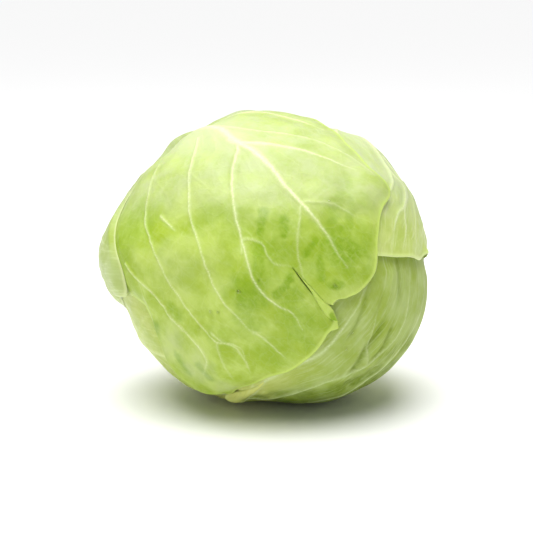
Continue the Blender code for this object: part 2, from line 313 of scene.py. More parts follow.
@dataclass(frozen=True)
class LeafFinish:
    """The colours and surface of a leaf. Colours are linear."""

    light: Colour
    deep: Colour
    # the dark green of patches and stains, also used as painted shade in valleys and on the underside
    patch: Colour
    vein: Colour
    rim: Colour
    base: Colour
    net: float  # how clearly the finest veins show
    streaks: float  # how clearly the streaks along the midrib show
    roughness: float = 0.38
    cell: float = 9.0  # mm between the lines of the net
    shine: float = 0.35
    # the colour of the waxy bloom, and of the painted sheen on the head's upper side
    bloom: Colour = (0.51, 0.58, 0.37)


@dataclass(frozen=True)
class LeafPlan:
    """One wrapper leaf drawn flat, in mm from its middle, with its tip up and its outer side shown."""

    node: str
    from_apex: float  # degrees from the apex to the leaf's middle
    bearing: float  # degrees clockwise from straight up, round the axis, seen from the apex
    edge: Line
    rib: Line
    finish: LeafFinish
    veins: tuple[Vein, ...]
    seed: int
    fineness: int  # rings of fine triangles for each ring of the solid, an even number
    folds: tuple[Fold, ...] = ()
    patches: tuple[Spot, ...] = ()  # darker places: x, y, reach and strength
    sheen_and_bloom_spots: tuple[Spot, ...] = ()  # the same for paler places, partly waxy bloom and partly painted light
    stains: tuple[Fold, ...] = ()  # darker strokes, with their strength as their height
    rib_height: float = 3.4
    bumps: tuple[Spot, ...] = ()  # x, y, height and reach
    slit: tuple[float, int] = ()  # the tear's angle in degrees, and the ring of the solid it starts from
    flutter: float = 0.0  # how high the margin's waves are
    tear_over: Line = ()  # the tear's edge that lies on top, from its inner end out
    tear_under: Line = ()
    branch_gap: float = 22.0
    curl: float = 0.5  # how high the margin's edge rolls up
    pressed: tuple[Triple, ...] = ()  # x, y and reach of margin that lies tight on what is under it
    paling_reach: float = 26.0  # how far beside the midrib its base is pale


@dataclass(frozen=True)
class Layering:
    """How the leaves lie on the heart and on each other, in mm. Down to flutter_reach it is as in the
    solids, and what follows is for the finer sheets."""

    gap: float = 1.0
    skirt_start: float = 4.0
    skirt: float = 24.0
    blade: float = 1.1
    rib_tip_width: float = 6.0
    rib_widening: float = 8.0
    rib_taper: float = 1.6
    rib_ridge: float = 0.5
    rings: int = 12
    rounding: float = math.radians(36)
    rounding_samples: int = 9
    margin_samples: int = 2880
    ripple: tuple[tuple[int, float], ...] = ((9, 0.8), (14, 0.6), (23, 0.4))
    flutter_waves: int = 11
    flutter_reach: float = 20.0
    plain_fineness: int = 2
    press_reach: float = 10.0
    press_gap: float = 0.12
    press_fall: float = 2.0  # how many times shorter than its reach the end of the pressing is
    snug_start: float = 0.5
    snug_skirt: float = 4.5
    painted_sheen_from: float = 0.12  # the share of the way up the head where the painted sheen starts
    painted_sheen_rise: float = 0.34


@dataclass(frozen=True)
class Relief:
    """How a leaf's surface rises and falls, in mm. A share has no unit."""

    sway: float = 0.28  # how far the veins stray from their drawn lines
    sway_size: float = 2.6
    vein_reach: float = 14.0  # how far beside itself a vein is felt
    vein_step: float = 2.5  # between the points of a vein's smooth line
    end_fade: float = 5.0  # how many times shorter than the line the fade at its end is
    vein_sinking: float = 0.6  # the share of its height that a vein loses towards its tip
    ridge_width: float = 1.5  # widths here are in half widths of the vein
    core: float = 0.72  # the share of a vein's paleness that is in its middle
    core_width: float = 0.72
    halo_width: float = 1.8
    tip_pale: float = 0.35  # the share of its paleness that a vein keeps at its tip
    fold_step: float = 3.0
    fold_end: float = 0.25  # the share of a fold's height that is left at its ends
    swell: float = 0.55  # between the veins
    swell_reach: float = 11.0
    wave: float = 0.35  # broad random hills
    wave_size: float = 21.0
    ripple: float = 0.12  # small random hills
    ripple_size: float = 7.0
    smooth_margin: float = 9.0  # how far inside the margin the swelling starts
    curl_reach: float = 7.0
    curl_least: float = 0.7  # the shares of a leaf's curl that are fixed and random
    curl_varied: float = 0.6
    curl_size: float = 16.0
    thinning: float = 0.45  # the share of the blade that the margin loses
    pressed_thinning: float = 0.35
    thinning_reach: float = 8.0
    edge: float = 0.5  # the share of the thickness that the very edge of the outer side keeps
    inner_edge: float = 0.25
    inner_edge_pressed: float = 0.2
    bare_from: float = 2.0  # how far outside the leaf above it a leaf's relief starts
    bare_rise: float = 8.0
    plain_angle: float = math.radians(-90)  # where a whole leaf's rings start


@dataclass(frozen=True)
class Tint:
    """How far the darker places, the margin's colour and the spots spread, in mm. A share has no unit."""

    spot_ragged: float = 0.35
    spot_grain: float = 5.0
    spot_from: float = 0.35
    spot_fall: float = 1.1
    valley_shade: float = 0.8  # painted shade: how dark a valley is for each mm of its depth, and at most
    stain_ragged: float = 0.3
    stain_grain: float = 2.5
    stain_step: float = 2.0
    stain_from: float = 0.25
    stain_fall: float = 1.2
    rim_reach: float = 4.0


@dataclass(frozen=True)
class Tear:
    """How a tear opens, in mm. A share has no unit."""

    blend: float = 0.14  # the share of the way out over which the tear's inner end opens
    reach: float = 16.0
    step: float = 1.0
    roll: float = 0.5  # how high the upper edge rolls
    roll_reach: float = 3.0
    roll_rise: float = 2.0
    sink: float = 0.7  # how deep the lower edge sinks
    sink_reach: float = 9.0
    sink_rise: float = 1.5


@dataclass(frozen=True)
class Growth:
    """How thin side veins grow off the drawn ones, in mm. A Range is that of a random draw."""

    trunk_step: float = 2.0
    first: Range = (3.0, 7.0)  # how many steps along the trunk the first one starts
    end_gap: int = 3
    fork: Range = (38, 58)  # degrees off the trunk
    strides: tuple[int, int] = (5, 13)
    bend: Range = (-3.0, 7.0)  # degrees for each stride
    stride: float = 2.5
    meeting: float = 2.2
    least_points: int = 3
    own_numbers: int = 1000  # a grown vein's number starts here, a drawn one's at 0
    root_share: float = 0.42
    root_least: float = 0.35
    root_most: float = 0.8
    tip: float = 0.3
    height: float = 0.14
    pale: Range = (0.05, 0.17)
    gap: Range = (0.7, 1.4)


RELIEF = Relief()
TINT = Tint()
TEAR = Tear()
GROWTH = Growth()


@dataclass
class Drawing:
    """The flat drawing of a leaf, and where it goes on the head."""

    plan: LeafPlan
    form: HeadForm
    layering: Layering

    def __post_init__(self) -> None:
        """Works out the leaf's own directions: to its middle, to its tip, and across."""
        bearing, polar = math.radians(self.plan.bearing), math.radians(self.plan.from_apex)
        apex = self.form.apex
        outward = math.cos(bearing) * UP + math.sin(bearing) * np.cross(UP, apex)
        self.middle = math.cos(polar) * apex + math.sin(polar) * outward
        self.upward = math.sin(polar) * apex - math.cos(polar) * outward
        self.across = np.cross(self.upward, self.middle)

    def wrapped(self, drawing: np.ndarray) -> np.ndarray:
        """Returns unit vectors from the head's centre to points of the drawing."""
        reach = np.hypot(drawing[:, 0], drawing[:, 1])
        arc = reach / self.form.wrap_radius
        share = np.sin(arc) / np.maximum(reach, TINY)
        return (
            np.cos(arc)[:, None] * self.middle
            + (drawing[:, 0] * share)[:, None] * self.across
            + (drawing[:, 1] * share)[:, None] * self.upward
        )

    def unwrapped(self, ways: np.ndarray) -> np.ndarray:
        """Returns the drawing's points along unit vectors from the head's centre."""
        x, y = ways @ self.across, ways @ self.upward
        sideways = np.hypot(x, y)
        reach = np.arctan2(sideways, ways @ self.middle) * self.form.wrap_radius
        share = reach / np.maximum(sideways, TINY)
        return np.column_stack((x * share, y * share))

    def margin_reach(self, angles: np.ndarray) -> np.ndarray:
        """Returns how far the margin is from the leaf's middle at each angle, in mm."""
        points = np.array(self.plan.edge, float)
        turned = np.mod(np.arctan2(points[:, 1], points[:, 0]), TURN)
        order = np.argsort(turned)
        smooth = round_curve(turned[order], np.hypot(points[order, 0], points[order, 1]), angles)
        ripple = self.layering.ripple
        phases = np.random.default_rng(self.plan.seed).uniform(0.0, TURN, len(ripple))
        for (waves, height), phase in zip(ripple, phases):
            smooth = smooth + height * np.sin(waves * angles + phase)
        return smooth

    def inside_margin(self, drawing: np.ndarray) -> np.ndarray:
        """Returns how far points are inside the margin along their ray, in mm."""
        angles = np.arctan2(drawing[:, 1], drawing[:, 0])
        return self.margin_reach(angles) - np.hypot(drawing[:, 0], drawing[:, 1])

    def thickness(self, drawing: np.ndarray) -> np.ndarray:
        """Returns the blade's thickness with its midrib, in mm."""
        lay = self.layering
        distance, along, _ = distance_to_line(drawing, np.array(self.plan.rib, float))
        height = self.plan.rib_height * (1.0 - along) ** lay.rib_taper + lay.rib_ridge * (1.0 - along)
        width = lay.rib_tip_width + lay.rib_widening * (1.0 - along)
        return lay.blade + height * np.exp(-((distance / width) ** 2))

    def stand_off(self, drawing: np.ndarray) -> np.ndarray:
        """Returns how far the leaf stands off what it lies on, in mm."""
        lay = self.layering
        angles = np.arctan2(drawing[:, 1], drawing[:, 0])
        near_margin = smooth_step(1.0 - np.abs(self.inside_margin(drawing)) / lay.flutter_reach)
        waves = 0.5 + 0.5 * np.sin(lay.flutter_waves * angles + self.plan.seed)
        raised = self.plan.flutter * near_margin * waves
        for x, y, height, reach in self.plan.bumps:
            away = np.hypot(drawing[:, 0] - x, drawing[:, 1] - y)
            raised = raised + height * np.exp(-((away / reach) ** 2))
        return raised

    def cover(self, drawing: np.ndarray, snug: bool = False) -> np.ndarray:
        """Returns 1 where the leaf lies, falling to 0 outside it, and sooner for a snug fit."""
        lay = self.layering
        start, end = (lay.snug_start, lay.snug_skirt) if snug else (lay.skirt_start, lay.skirt)
        return 1.0 - smooth_step((-self.inside_margin(drawing) - start) / (end - start))

    def sheet_point(self, share: np.ndarray, turns: np.ndarray, start: float) -> np.ndarray:
        """Places a disc's points on the drawing, evenly along the margin.

        Args:
            share: How far out each point is, 0 to 1.
            turns: Its place round the disc, 0 to 1.
            start: The drawing's angle where the turns start, in radians.

        Returns:
            The points on the drawing, in mm.
        """
        lay = self.layering
        spread = start + np.linspace(0.0, TURN, lay.margin_samples + 1)
        reach = self.margin_reach(spread)
        margin = np.column_stack((reach * np.cos(spread), reach * np.sin(spread)))
        steps = np.hypot(*np.diff(margin, axis=0).T)
        along = np.concatenate(([0.0], np.cumsum(steps))) / steps.sum()
        rim = np.column_stack([np.interp(turns, along, margin[:, axis]) for axis in (0, 1)])
        nearby = np.linspace(-lay.rounding, lay.rounding, lay.rounding_samples)
        rounded = sum(self.margin_reach(spread + shift) for shift in nearby) / len(nearby)
        angles = start + turns * TURN
        even = np.interp(angles, spread, rounded)
        round_rim = np.column_stack((even * np.cos(angles), even * np.sin(angles)))
        return share[:, None] * (round_rim + (rim - round_rim) * share[:, None] ** 2)


class TornDisc:
    """A disc of even triangles in rings round its middle, torn open from one ring to its edge."""

    SECTORS = 6

    def __init__(self, rings: int, torn_from: int) -> None:
        """Numbers the disc's points and triangles.

        Args:
            rings: How many rings it has.
            torn_from: The last ring that is whole. The disc isn't torn if it is the last one.
        """
        self.rings = rings
        self.torn_from = torn_from
        self.starts = np.zeros(rings + 2, int)
        shares, turns = [np.zeros(1)], [np.zeros(1)]
        self.starts[1] = 1
        for ring in range(1, rings + 1):
            count = self.SECTORS * ring + (1 if ring > torn_from else 0)
            self.starts[ring + 1] = self.starts[ring] + count
            shares.append(np.full(count, ring / rings))
            turns.append(np.arange(count) / float(self.SECTORS * ring))
        self.share = np.concatenate(shares)
        self.turns = np.concatenate(turns)
        self.triangles = np.vstack([self._ring_triangles(ring) for ring in range(1, rings + 1)])

    def _at(self, ring: int, place: np.ndarray) -> np.ndarray:
        """Returns the numbers of points by their ring and their place round it."""
        if ring == 0:
            return np.zeros_like(place)
        if ring > self.torn_from:
            return self.starts[ring] + place
        return self.starts[ring] + place % (self.SECTORS * ring)

    def _ring_triangles(self, ring: int) -> np.ndarray:
        """Returns the triangles between a ring and the one inside it."""
        sector = np.repeat(np.arange(self.SECTORS), ring)
        step = np.tile(np.arange(ring), self.SECTORS)
        inner = self._at(ring - 1, sector * (ring - 1) + step)
        outer = self._at(ring, sector * ring + step)
        outer_next = self._at(ring, sector * ring + step + 1)
        pointing_in = np.column_stack((inner, outer, outer_next))
        if ring == 1:
            return pointing_in
        keep = step < ring - 1
        inner_next = self._at(ring - 1, sector * (ring - 1) + step + 1)
        pointing_out = np.column_stack((inner, outer_next, inner_next))[keep]
        return np.vstack((pointing_in, pointing_out))

    def boundary(self) -> np.ndarray:
        """Returns the numbers of the points round the disc's edge and the tear, in order."""
        last = self.rings
        if self.torn_from >= last:
            return self._at(last, np.arange(self.SECTORS * last))
        rings = np.arange(self.torn_from + 1, last + 1)
        outward = self.starts[rings]
        inward = self.starts[rings + 1] - 1
        first = self._at(self.torn_from, np.zeros(1, int))
        around = self._at(last, np.arange(1, self.SECTORS * last))
        return np.concatenate((first, outward, around, inward[::-1]))


def clear_selection() -> None:
    """Deselects every object."""
    bpy.ops.object.select_all(action="DESELECT")


def face_outwards(piece: bpy.types.Object) -> None:
    """Turns all of a closed piece's faces outwards."""
    clear_selection()
    piece.select_set(True)
    bpy.context.view_layer.objects.active = piece
    bpy.ops.object.mode_set(mode="EDIT")
    bpy.ops.mesh.select_all(action="SELECT")
    bpy.ops.mesh.normals_make_consistent(inside=False)
    bpy.ops.object.mode_set(mode="OBJECT")


def leaf_piece(
    name: str, points: np.ndarray, faces: np.ndarray | list[tuple[int, ...]], flat: np.ndarray,
    grain: np.ndarray, values: dict[Attribute, np.ndarray], finish: LeafFinish, material: str,
) -> bpy.types.Object:
    """Makes a piece of a leaf, with its maps, its values and its finish. Operators can't wrap a drawn
    leaf round a head, so its mesh is made from its points.

    Args:
        name: The piece's name.
        points: Its points, in metres.
        faces: Its faces, by the points' numbers.
        flat: The points on the leaf's drawing, in mm.
        grain: Their distances across and along the midrib, in mm.
        values: What the finish reads at each point.
        finish: The finish.
        material: The material's name.

    Returns:
        The piece.
    """
    mesh = bpy.data.meshes.new(name)
    mesh.from_pydata(points, [], faces)
    add_map(mesh, UVName.FLAT, flat)
    add_map(mesh, UVName.GRAIN, grain)
    add_values(mesh, values)
    mesh.validate()
    mesh.shade_smooth()
    piece = bpy.data.objects.new(name, mesh)
    bpy.context.scene.collection.objects.link(piece)
    piece.data.materials.append(LeafMaterial(finish).build(material))
    LOG.info("%s: %d faces", name, len(mesh.polygons))
    return piece


def add_map(mesh: bpy.types.Mesh, name: UVName, places: np.ndarray) -> None:
    """Adds a UV map from each vertex's coordinates in mm."""
    layer = mesh.uv_layers.new(name=name.value)
    corners = np.zeros(len(mesh.loops), int)
    mesh.loops.foreach_get("vertex_index", corners)
    layer.data.foreach_set("uv", (places[corners] / MAP_UNIT).astype(np.float32).ravel())


def add_values(mesh: bpy.types.Mesh, values: dict[Attribute, np.ndarray]) -> None:
    """Adds the values that a leaf's finish reads to each vertex."""
    for name, amounts in values.items():
        layer = mesh.attributes.new(name.value, "FLOAT", "POINT")
        layer.data.foreach_set("value", amounts.astype(np.float32))


@dataclass
class WrapperLeaf:
    """One wrapper leaf as a fine closed sheet: veined outer side, plain inner side, rounded margin."""

    index: int  # its number, from the innermost leaf out
    drawings: list[Drawing]  # all the leaves', in that order
    form: HeadForm
    rib_ends: float = 4.0  # how many times longer the midrib's ends are drawn for the grain

    def __post_init__(self) -> None:
        """Finds the leaf's own drawing, and makes room for its built points."""
        self.drawing = self.drawings[self.index]
        self.plan = self.drawing.plan
        self.layering = self.drawing.layering
        self.outer_points = np.zeros((0, 3))
        self.outer_flat = np.zeros((0, 2))

    def nearest_point(self, x: float, y: float) -> Vector:
        """Returns the built leaf's outer point nearest to a place of its drawing, in metres."""
        away = np.hypot(self.outer_flat[:, 0] - x, self.outer_flat[:, 1] - y)
        return Vector(self.outer_points[int(np.argmin(away))])

    def pile_radius(self, ways: np.ndarray, snug: bool = False) -> np.ndarray:
        """Returns the radius of all that lies under this leaf, in mm, with its steps sharper if snug."""
        radius = self.form.heart_radius(ways)
        for under in self.drawings[:self.index]:
            points = under.unwrapped(ways)
            layer = self.layering.gap + under.thickness(points) + under.stand_off(points)
            radius = radius + under.cover(points, snug) * layer
        return radius

    def layers_over(self, ways: np.ndarray) -> np.ndarray:
        """Returns the height that the leaves over this one need where the head rests, in mm."""
        room = np.zeros(len(ways))
        for over in self.drawings[self.index + 1:]:
            room = room + over.cover(over.unwrapped(ways), True) * (self.layering.gap + self.layering.blade)
        return room

    def bare(self, ways: np.ndarray) -> np.ndarray:
        """Returns 1 where nothing lies over this leaf, falling to 0 under the leaves over it."""
        open_share = np.ones(len(ways))
        for over in self.drawings[self.index + 1:]:
            outside = -over.inside_margin(over.unwrapped(ways))
            open_share = open_share * smooth_step((outside - RELIEF.bare_from) / RELIEF.bare_rise)
        return open_share

    def grown_veins(self) -> list[Vein]:
        """Grows seeded side veins off the drawn ones, each until it meets another vein.

        Returns:
            The side veins.
        """
        chance = np.random.default_rng(self.plan.seed + Seed.GROWTH)
        trunks = [softened(vein.line, GROWTH.trunk_step) for vein in self.plan.veins]
        taken = [np.column_stack((trunk, np.full(len(trunk), number))) for number, trunk in enumerate(trunks)]
        grown: list[Vein] = []
        for number, (vein, trunk) in enumerate(zip(self.plan.veins, trunks)):
            side = 1.0 if chance.uniform() < 0.5 else -1.0
            spot = chance.uniform(*GROWTH.first)
            while spot < len(trunk) - GROWTH.end_gap:
                at = int(spot)
                forward = trunk[at + 1] - trunk[at]
                fork = math.radians(chance.uniform(*GROWTH.fork))
                heading = math.atan2(forward[1], forward[0]) + side * fork
                others = np.vstack(taken)
                others = others[others[:, 2] != number, :2]
                path = self._path(trunk[at], heading, side, others, chance)
                if len(path) > GROWTH.least_points:
                    width = vein.root + (vein.tip - vein.root) * (at / len(trunk))
                    root = min(max(GROWTH.root_least, width * GROWTH.root_share), GROWTH.root_most)
                    line = tuple((float(x), float(y)) for x, y in path)
                    pale = vein.pale * float(chance.uniform(*GROWTH.pale))
                    grown.append(Vein(line, root, GROWTH.tip, GROWTH.height, pale))
                    own = np.full(len(path), GROWTH.own_numbers + len(grown))
                    taken.append(np.column_stack((np.array(path), own)))
                side = -side
                spot += self.plan.branch_gap / 2.0 * chance.uniform(*GROWTH.gap)
        return grown

    def _path(
        self, start: np.ndarray, heading: float, side: float, others: np.ndarray, chance: np.random.Generator
    ) -> list[np.ndarray]:
        """Grows one side vein.

        Args:
            start: Where it leaves its trunk.
            heading: The angle that it starts at, in radians.
            side: 1 or -1, the side of the trunk that it is on.
            others: Points of the other veins.
            chance: Where its random numbers come from.

        Returns:
            Its points in order.
        """
        path = [start]
        for _ in range(int(chance.integers(*GROWTH.strides))):
            heading -= side * math.radians(chance.uniform(*GROWTH.bend))
            ahead = path[-1] + GROWTH.stride * np.array((math.cos(heading), math.sin(heading)))
            away = np.hypot(others[:, 0] - ahead[0], others[:, 1] - ahead[1])
            nearest = int(np.argmin(away)) if len(away) else -1
            if nearest >= 0 and away[nearest] < GROWTH.meeting:
                path.append(others[nearest])
                break
            path.append(ahead)
        return path

    def veined(self, points: np.ndarray) -> tuple[np.ndarray, np.ndarray, np.ndarray]:
        """Measures the veins under each point of the drawing.

        Args:
            points: The drawing's points, in mm.

        Returns:
            The veins' height in mm, how pale they make the leaf, and the distance to the nearest vein.
        """
        height = np.zeros(len(points))
        pale = np.zeros(len(points))
        nearest = np.full(len(points), RELIEF.vein_reach)
        seeds = (self.plan.seed + Seed.SWAY_X, self.plan.seed + Seed.SWAY_Y)
        sway = [soft_noise(points, RELIEF.sway_size, seed) for seed in seeds]
        points = points + RELIEF.sway * np.column_stack(sway)
        for vein in (*self.plan.veins, *self.grown_veins()):
            line = softened(vein.line, RELIEF.vein_step)
            low, high = line.min(axis=0) - RELIEF.vein_reach, line.max(axis=0) + RELIEF.vein_reach
            close = np.flatnonzero(np.all((points > low) & (points < high), axis=1))
            if not len(close):
                continue
            distance, along, _ = distance_to_line(points[close], line)
            width = vein.root + (vein.tip - vein.root) * along
            fade = smooth_step((1.0 - along) * RELIEF.end_fade)
            ridge = vein.height * (1.0 - RELIEF.vein_sinking * along) * fade
            ridge = ridge * np.exp(-((distance / (RELIEF.ridge_width * width)) ** 2))
            height[close] = np.maximum(height[close], ridge)
            core = RELIEF.core * np.exp(-((distance / (RELIEF.core_width * width)) ** 2))
            halo = (1.0 - RELIEF.core) * np.exp(-((distance / (RELIEF.halo_width * width)) ** 2))
            tint = vein.pale * (RELIEF.tip_pale + (1.0 - RELIEF.tip_pale) * fade) * (core + halo)
            pale[close] = np.maximum(pale[close], tint)
            nearest[close] = np.minimum(nearest[close], distance)
        return height, pale, nearest

    def folded(self, points: np.ndarray) -> np.ndarray:
        """Returns the height of the leaf's soft ridges and valleys at each point, in mm."""
        height = np.zeros(len(points))
        for fold in self.plan.folds:
            distance, along, _ = distance_to_line(points, softened(fold.line, RELIEF.fold_step))
            fade = smooth_step(along * RELIEF.end_fade) * smooth_step((1.0 - along) * RELIEF.end_fade)
            kept = RELIEF.fold_end + (1.0 - RELIEF.fold_end) * fade
            height += fold.height * kept * np.exp(-((distance / fold.reach) ** 2))
        return height

    def patched(self, points: np.ndarray, spots: tuple[Spot, ...]) -> np.ndarray:
        """Spreads soft ragged spots over the drawing.

        Args:
            points: The drawing's points, in mm.
            spots: Each spot's place, reach and strength.

        Returns:
            How strong the spots are at each point, 0 to 1.
        """
        strongest = np.zeros(len(points))
        ragged = 1.0 + TINT.spot_ragged * soft_noise(points, TINT.spot_grain, self.plan.seed + Seed.SPOTS)
        for x, y, reach, strength in spots:
            away = np.hypot(points[:, 0] - x, points[:, 1] - y) * ragged
            spread = 1.0 - smooth_step((away / reach - TINT.spot_from) / TINT.spot_fall)
            strongest = np.maximum(strongest, strength * spread)
        return strongest

    def darkened(self, points: np.ndarray) -> np.ndarray:
        """Returns how dark green each point of the drawing is, 0 to 1: in patches and stains, with painted
        shade in the valleys.
        """
        # painted shade: the valleys of the folds are darkened by their depth
        painted_valley_shade = np.clip(-TINT.valley_shade * self.folded(points), 0.0, TINT.valley_shade)
        darkening_and_shade = np.maximum(self.patched(points, self.plan.patches), painted_valley_shade)
        ragged = 1.0 + TINT.stain_ragged * soft_noise(points, TINT.stain_grain, self.plan.seed + Seed.STAINS)
        for stain in self.plan.stains:
            distance, _, _ = distance_to_line(points, softened(stain.line, TINT.stain_step))
            away = distance * ragged / stain.reach
            stroke = 1.0 - smooth_step((away - TINT.stain_from) / TINT.stain_fall)
            darkening_and_shade = np.maximum(darkening_and_shade, stain.height * stroke)
        return darkening_and_shade

    def build(self) -> bpy.types.Object:
        """Builds, dresses and attaches the leaf.

        Returns:
            The leaf.
        """
        plan, lay = self.plan, self.layering
        fine_rings = lay.rings * plan.fineness
        plain_rings = lay.rings * lay.plain_fineness
        torn = plan.slit[1] if plan.slit else lay.rings
        outer = TornDisc(fine_rings, torn * plan.fineness)
        inner = TornDisc(plain_rings, torn * lay.plain_fineness)
        outer_points, outer_flat, values, grain = self._side(outer, True)
        self.outer_points, self.outer_flat = outer_points, outer_flat
        inner_points, inner_flat, plain_values, plain_grain = self._side(inner, False)
        rim = self._rim(outer.boundary(), inner.boundary() + len(outer_points))
        faces = np.vstack((outer.triangles, inner.triangles[:, ::-1] + len(outer_points), rim))
        piece = leaf_piece(
            plan.node + "_fine", np.vstack((outer_points, inner_points)), faces,
            np.vstack((outer_flat, inner_flat)), np.vstack((grain, plain_grain)),
            {name: np.concatenate((values[name], plain_values[name])) for name in Attribute},
            plan.finish, plan.node + "_finish",
        )
        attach(piece, BODY)
        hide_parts(plan.node)
        return piece

    def _side(
        self, disc: TornDisc, veined: bool
    ) -> tuple[np.ndarray, np.ndarray, dict[Attribute, np.ndarray], np.ndarray]:
        """Places one side of the leaf.

        Args:
            disc: The side's points and triangles.
            veined: Whether it is the outer side.

        Returns:
            The points in metres, the drawing's points in mm, the values of each point, and the
            grain's coordinates in mm.
        """
        plan, lay = self.plan, self.layering
        start = math.radians(plan.slit[0]) if plan.slit else RELIEF.plain_angle
        flat = self.drawing.sheet_point(disc.share, disc.turns, start)
        torn_lift = np.zeros(len(flat))
        if plan.slit:
            move, torn_lift = self._slit_shift(disc, flat, start)
            flat = flat + move
        ways = self.drawing.wrapped(flat)
        inside = self.drawing.inside_margin(flat)
        edge = disc.share > 1.0 - 0.5 / disc.rings
        if plan.slit:
            on_tear = (disc.share > plan.slit[1] / lay.rings) & (np.isin(disc.turns, (0.0, 1.0)))
            edge = edge | on_tear
        under = self.pile_radius(ways) + lay.gap + self.drawing.stand_off(flat)
        lift = plan.curl * smooth_step(1.0 - inside / RELIEF.curl_reach) ** 2
        varied = RELIEF.curl_varied * soft_noise(flat, RELIEF.curl_size, plan.seed + Seed.CURL)
        lift = lift * (RELIEF.curl_least + varied) + torn_lift
        pressed = self._pressed(flat) * smooth_step(1.0 - inside / lay.press_reach)
        tight = self.pile_radius(ways, True) + lay.press_gap
        lift = lift * (1.0 - pressed) + (tight - under) * pressed
        lowest = self.layers_over(ways) + pressed * (lay.gap - lay.press_gap)
        height, pale, nearest = self.veined(flat)
        if veined:
            open_share = self.bare(ways)
            thickness = self.drawing.thickness(flat)
            swell = RELIEF.swell * smooth_step(nearest / RELIEF.swell_reach)
            swell = swell + RELIEF.wave * soft_noise(flat, RELIEF.wave_size, plan.seed + Seed.WAVE)
            swell = swell + RELIEF.ripple * soft_noise(flat, RELIEF.ripple_size, plan.seed + Seed.RIPPLE)
            swell = swell * smooth_step(inside / RELIEF.smooth_margin)
            detail = (height + self.folded(flat) + swell) * open_share
            thinning = RELIEF.thinning + RELIEF.pressed_thinning * pressed
            thinning = thinning * smooth_step(1.0 - inside / RELIEF.thinning_reach) * lay.blade
            radii = under + np.where(edge, RELIEF.edge, 1.0) * (thickness - thinning) + lift + detail
        else:
            raised = RELIEF.inner_edge - RELIEF.inner_edge_pressed * pressed
            radii = under + lift + np.where(edge, raised, 0.0) * lay.blade
            lowest = lowest + lay.blade
        beside, along, _ = distance_to_line(flat, np.array(plan.rib, float))
        values = {
            Attribute.VEIN: pale,
            Attribute.PATCH: self.darkened(flat),
            Attribute.RIM: smooth_step(1.0 - inside / TINT.rim_reach),
            Attribute.BASE: (1.0 - along) * np.exp(-((beside / plan.paling_reach) ** 2)),
            # painted sheen: the head's upper side is made lighter as if lit from above, with the paler spots
            # added
            Attribute.BLOOM: np.maximum(
                smooth_step((ways @ self.form.view_up - lay.painted_sheen_from) / lay.painted_sheen_rise),
                self.patched(flat, plan.sheen_and_bloom_spots),
            ),
        }
        return self.form.placed(ways, radii, lowest), flat, values, self.grain(flat)

    def _pressed(self, flat: np.ndarray) -> np.ndarray:
        """Returns 1 where the margin is pressed on to what is under it, falling to 0 elsewhere."""
        share = np.zeros(len(flat))
        for x, y, reach in self.plan.pressed:
            away = np.hypot(flat[:, 0] - x, flat[:, 1] - y)
            fall = smooth_step(self.layering.press_fall * (away - reach) / reach)
            share = np.maximum(share, 1.0 - fall)
        return share

    def _slit_shift(self, disc: TornDisc, flat: np.ndarray, start: float) -> tuple[np.ndarray, np.ndarray]:
        """Opens the tear to its drawn edges.

        Args:
            disc: The side's points and triangles.
            flat: The drawing's points before the tear opens, in mm.
            start: The tear's angle in radians.

        Returns:
            How far each point of the drawing moves, and how far it is lifted, in mm.
        """
        from_tear = np.where(disc.turns > 0.5, disc.turns - 1.0, disc.turns) * TURN
        over = (from_tear > 0.0) | (disc.turns == 0.0)
        first = self.plan.slit[1] / self.layering.rings
        opening = np.clip((disc.share - first) / (1.0 - first), 0.0, 1.0)
        before = smooth_step((disc.share - first + TEAR.blend) / TEAR.blend)
        off = np.abs(from_tear) * np.hypot(flat[:, 0], flat[:, 1])
        near = smooth_step(1.0 - off / TEAR.reach)
        ray = self.drawing.sheet_point(np.maximum(disc.share, first), np.zeros(len(flat)), start)
        edges = []
        for edge in (self.plan.tear_over, self.plan.tear_under):
            line = softened(edge, TEAR.step)
            places = np.linspace(0.0, 1.0, len(line))
            edges.append(np.column_stack([np.interp(opening, places, line[:, axis]) for axis in (0, 1)]))
        target = np.where(over[:, None], edges[0], edges[1])
        move = (target - ray) * (near * before)[:, None]
        rolled = smooth_step(opening * TEAR.roll_rise) * np.exp(-((off / TEAR.roll_reach) ** 2))
        sunk = smooth_step(opening * TEAR.sink_rise) * np.exp(-((off / TEAR.sink_reach) ** 2))
        return move, np.where(over, TEAR.roll * rolled, -TEAR.sink * sunk)

    def grain(self, flat: np.ndarray) -> np.ndarray:
        """Returns the distances across and along the midrib, in mm."""
        rib = np.array(self.plan.rib, float)
        first, last = (self.rib_ends * (rib[end] - rib[beside]) for end, beside in ((0, 1), (-1, -2)))
        line = np.vstack((rib[0] + first, rib, rib[-1] + last))
        distance, along, side = distance_to_line(flat, line)
        length = np.hypot(*np.diff(line, axis=0).T).sum()
        return np.column_stack((distance * side, along * length))

    def _rim(self, outer: np.ndarray, inner: np.ndarray) -> np.ndarray:
        """Joins the two sides round the margin.

        Args:
            outer: The outer side's edge points in order.
            inner: The inner side's, which are fewer by a whole number of times.

        Returns:
            The rim's triangles.
        """
        ratio = len(outer) // len(inner)
        half = ratio // 2
        number = np.arange(len(outer))
        follower = np.roll(outer, -1)
        owner = (number // ratio + np.where(number % ratio >= half, 1, 0)) % len(inner)
        fans = np.column_stack((follower, outer, inner[owner]))
        middle = outer[np.arange(len(inner)) * ratio + half]
        joins = np.column_stack((inner, np.roll(inner, -1), middle))
        return np.vstack((fans, joins))


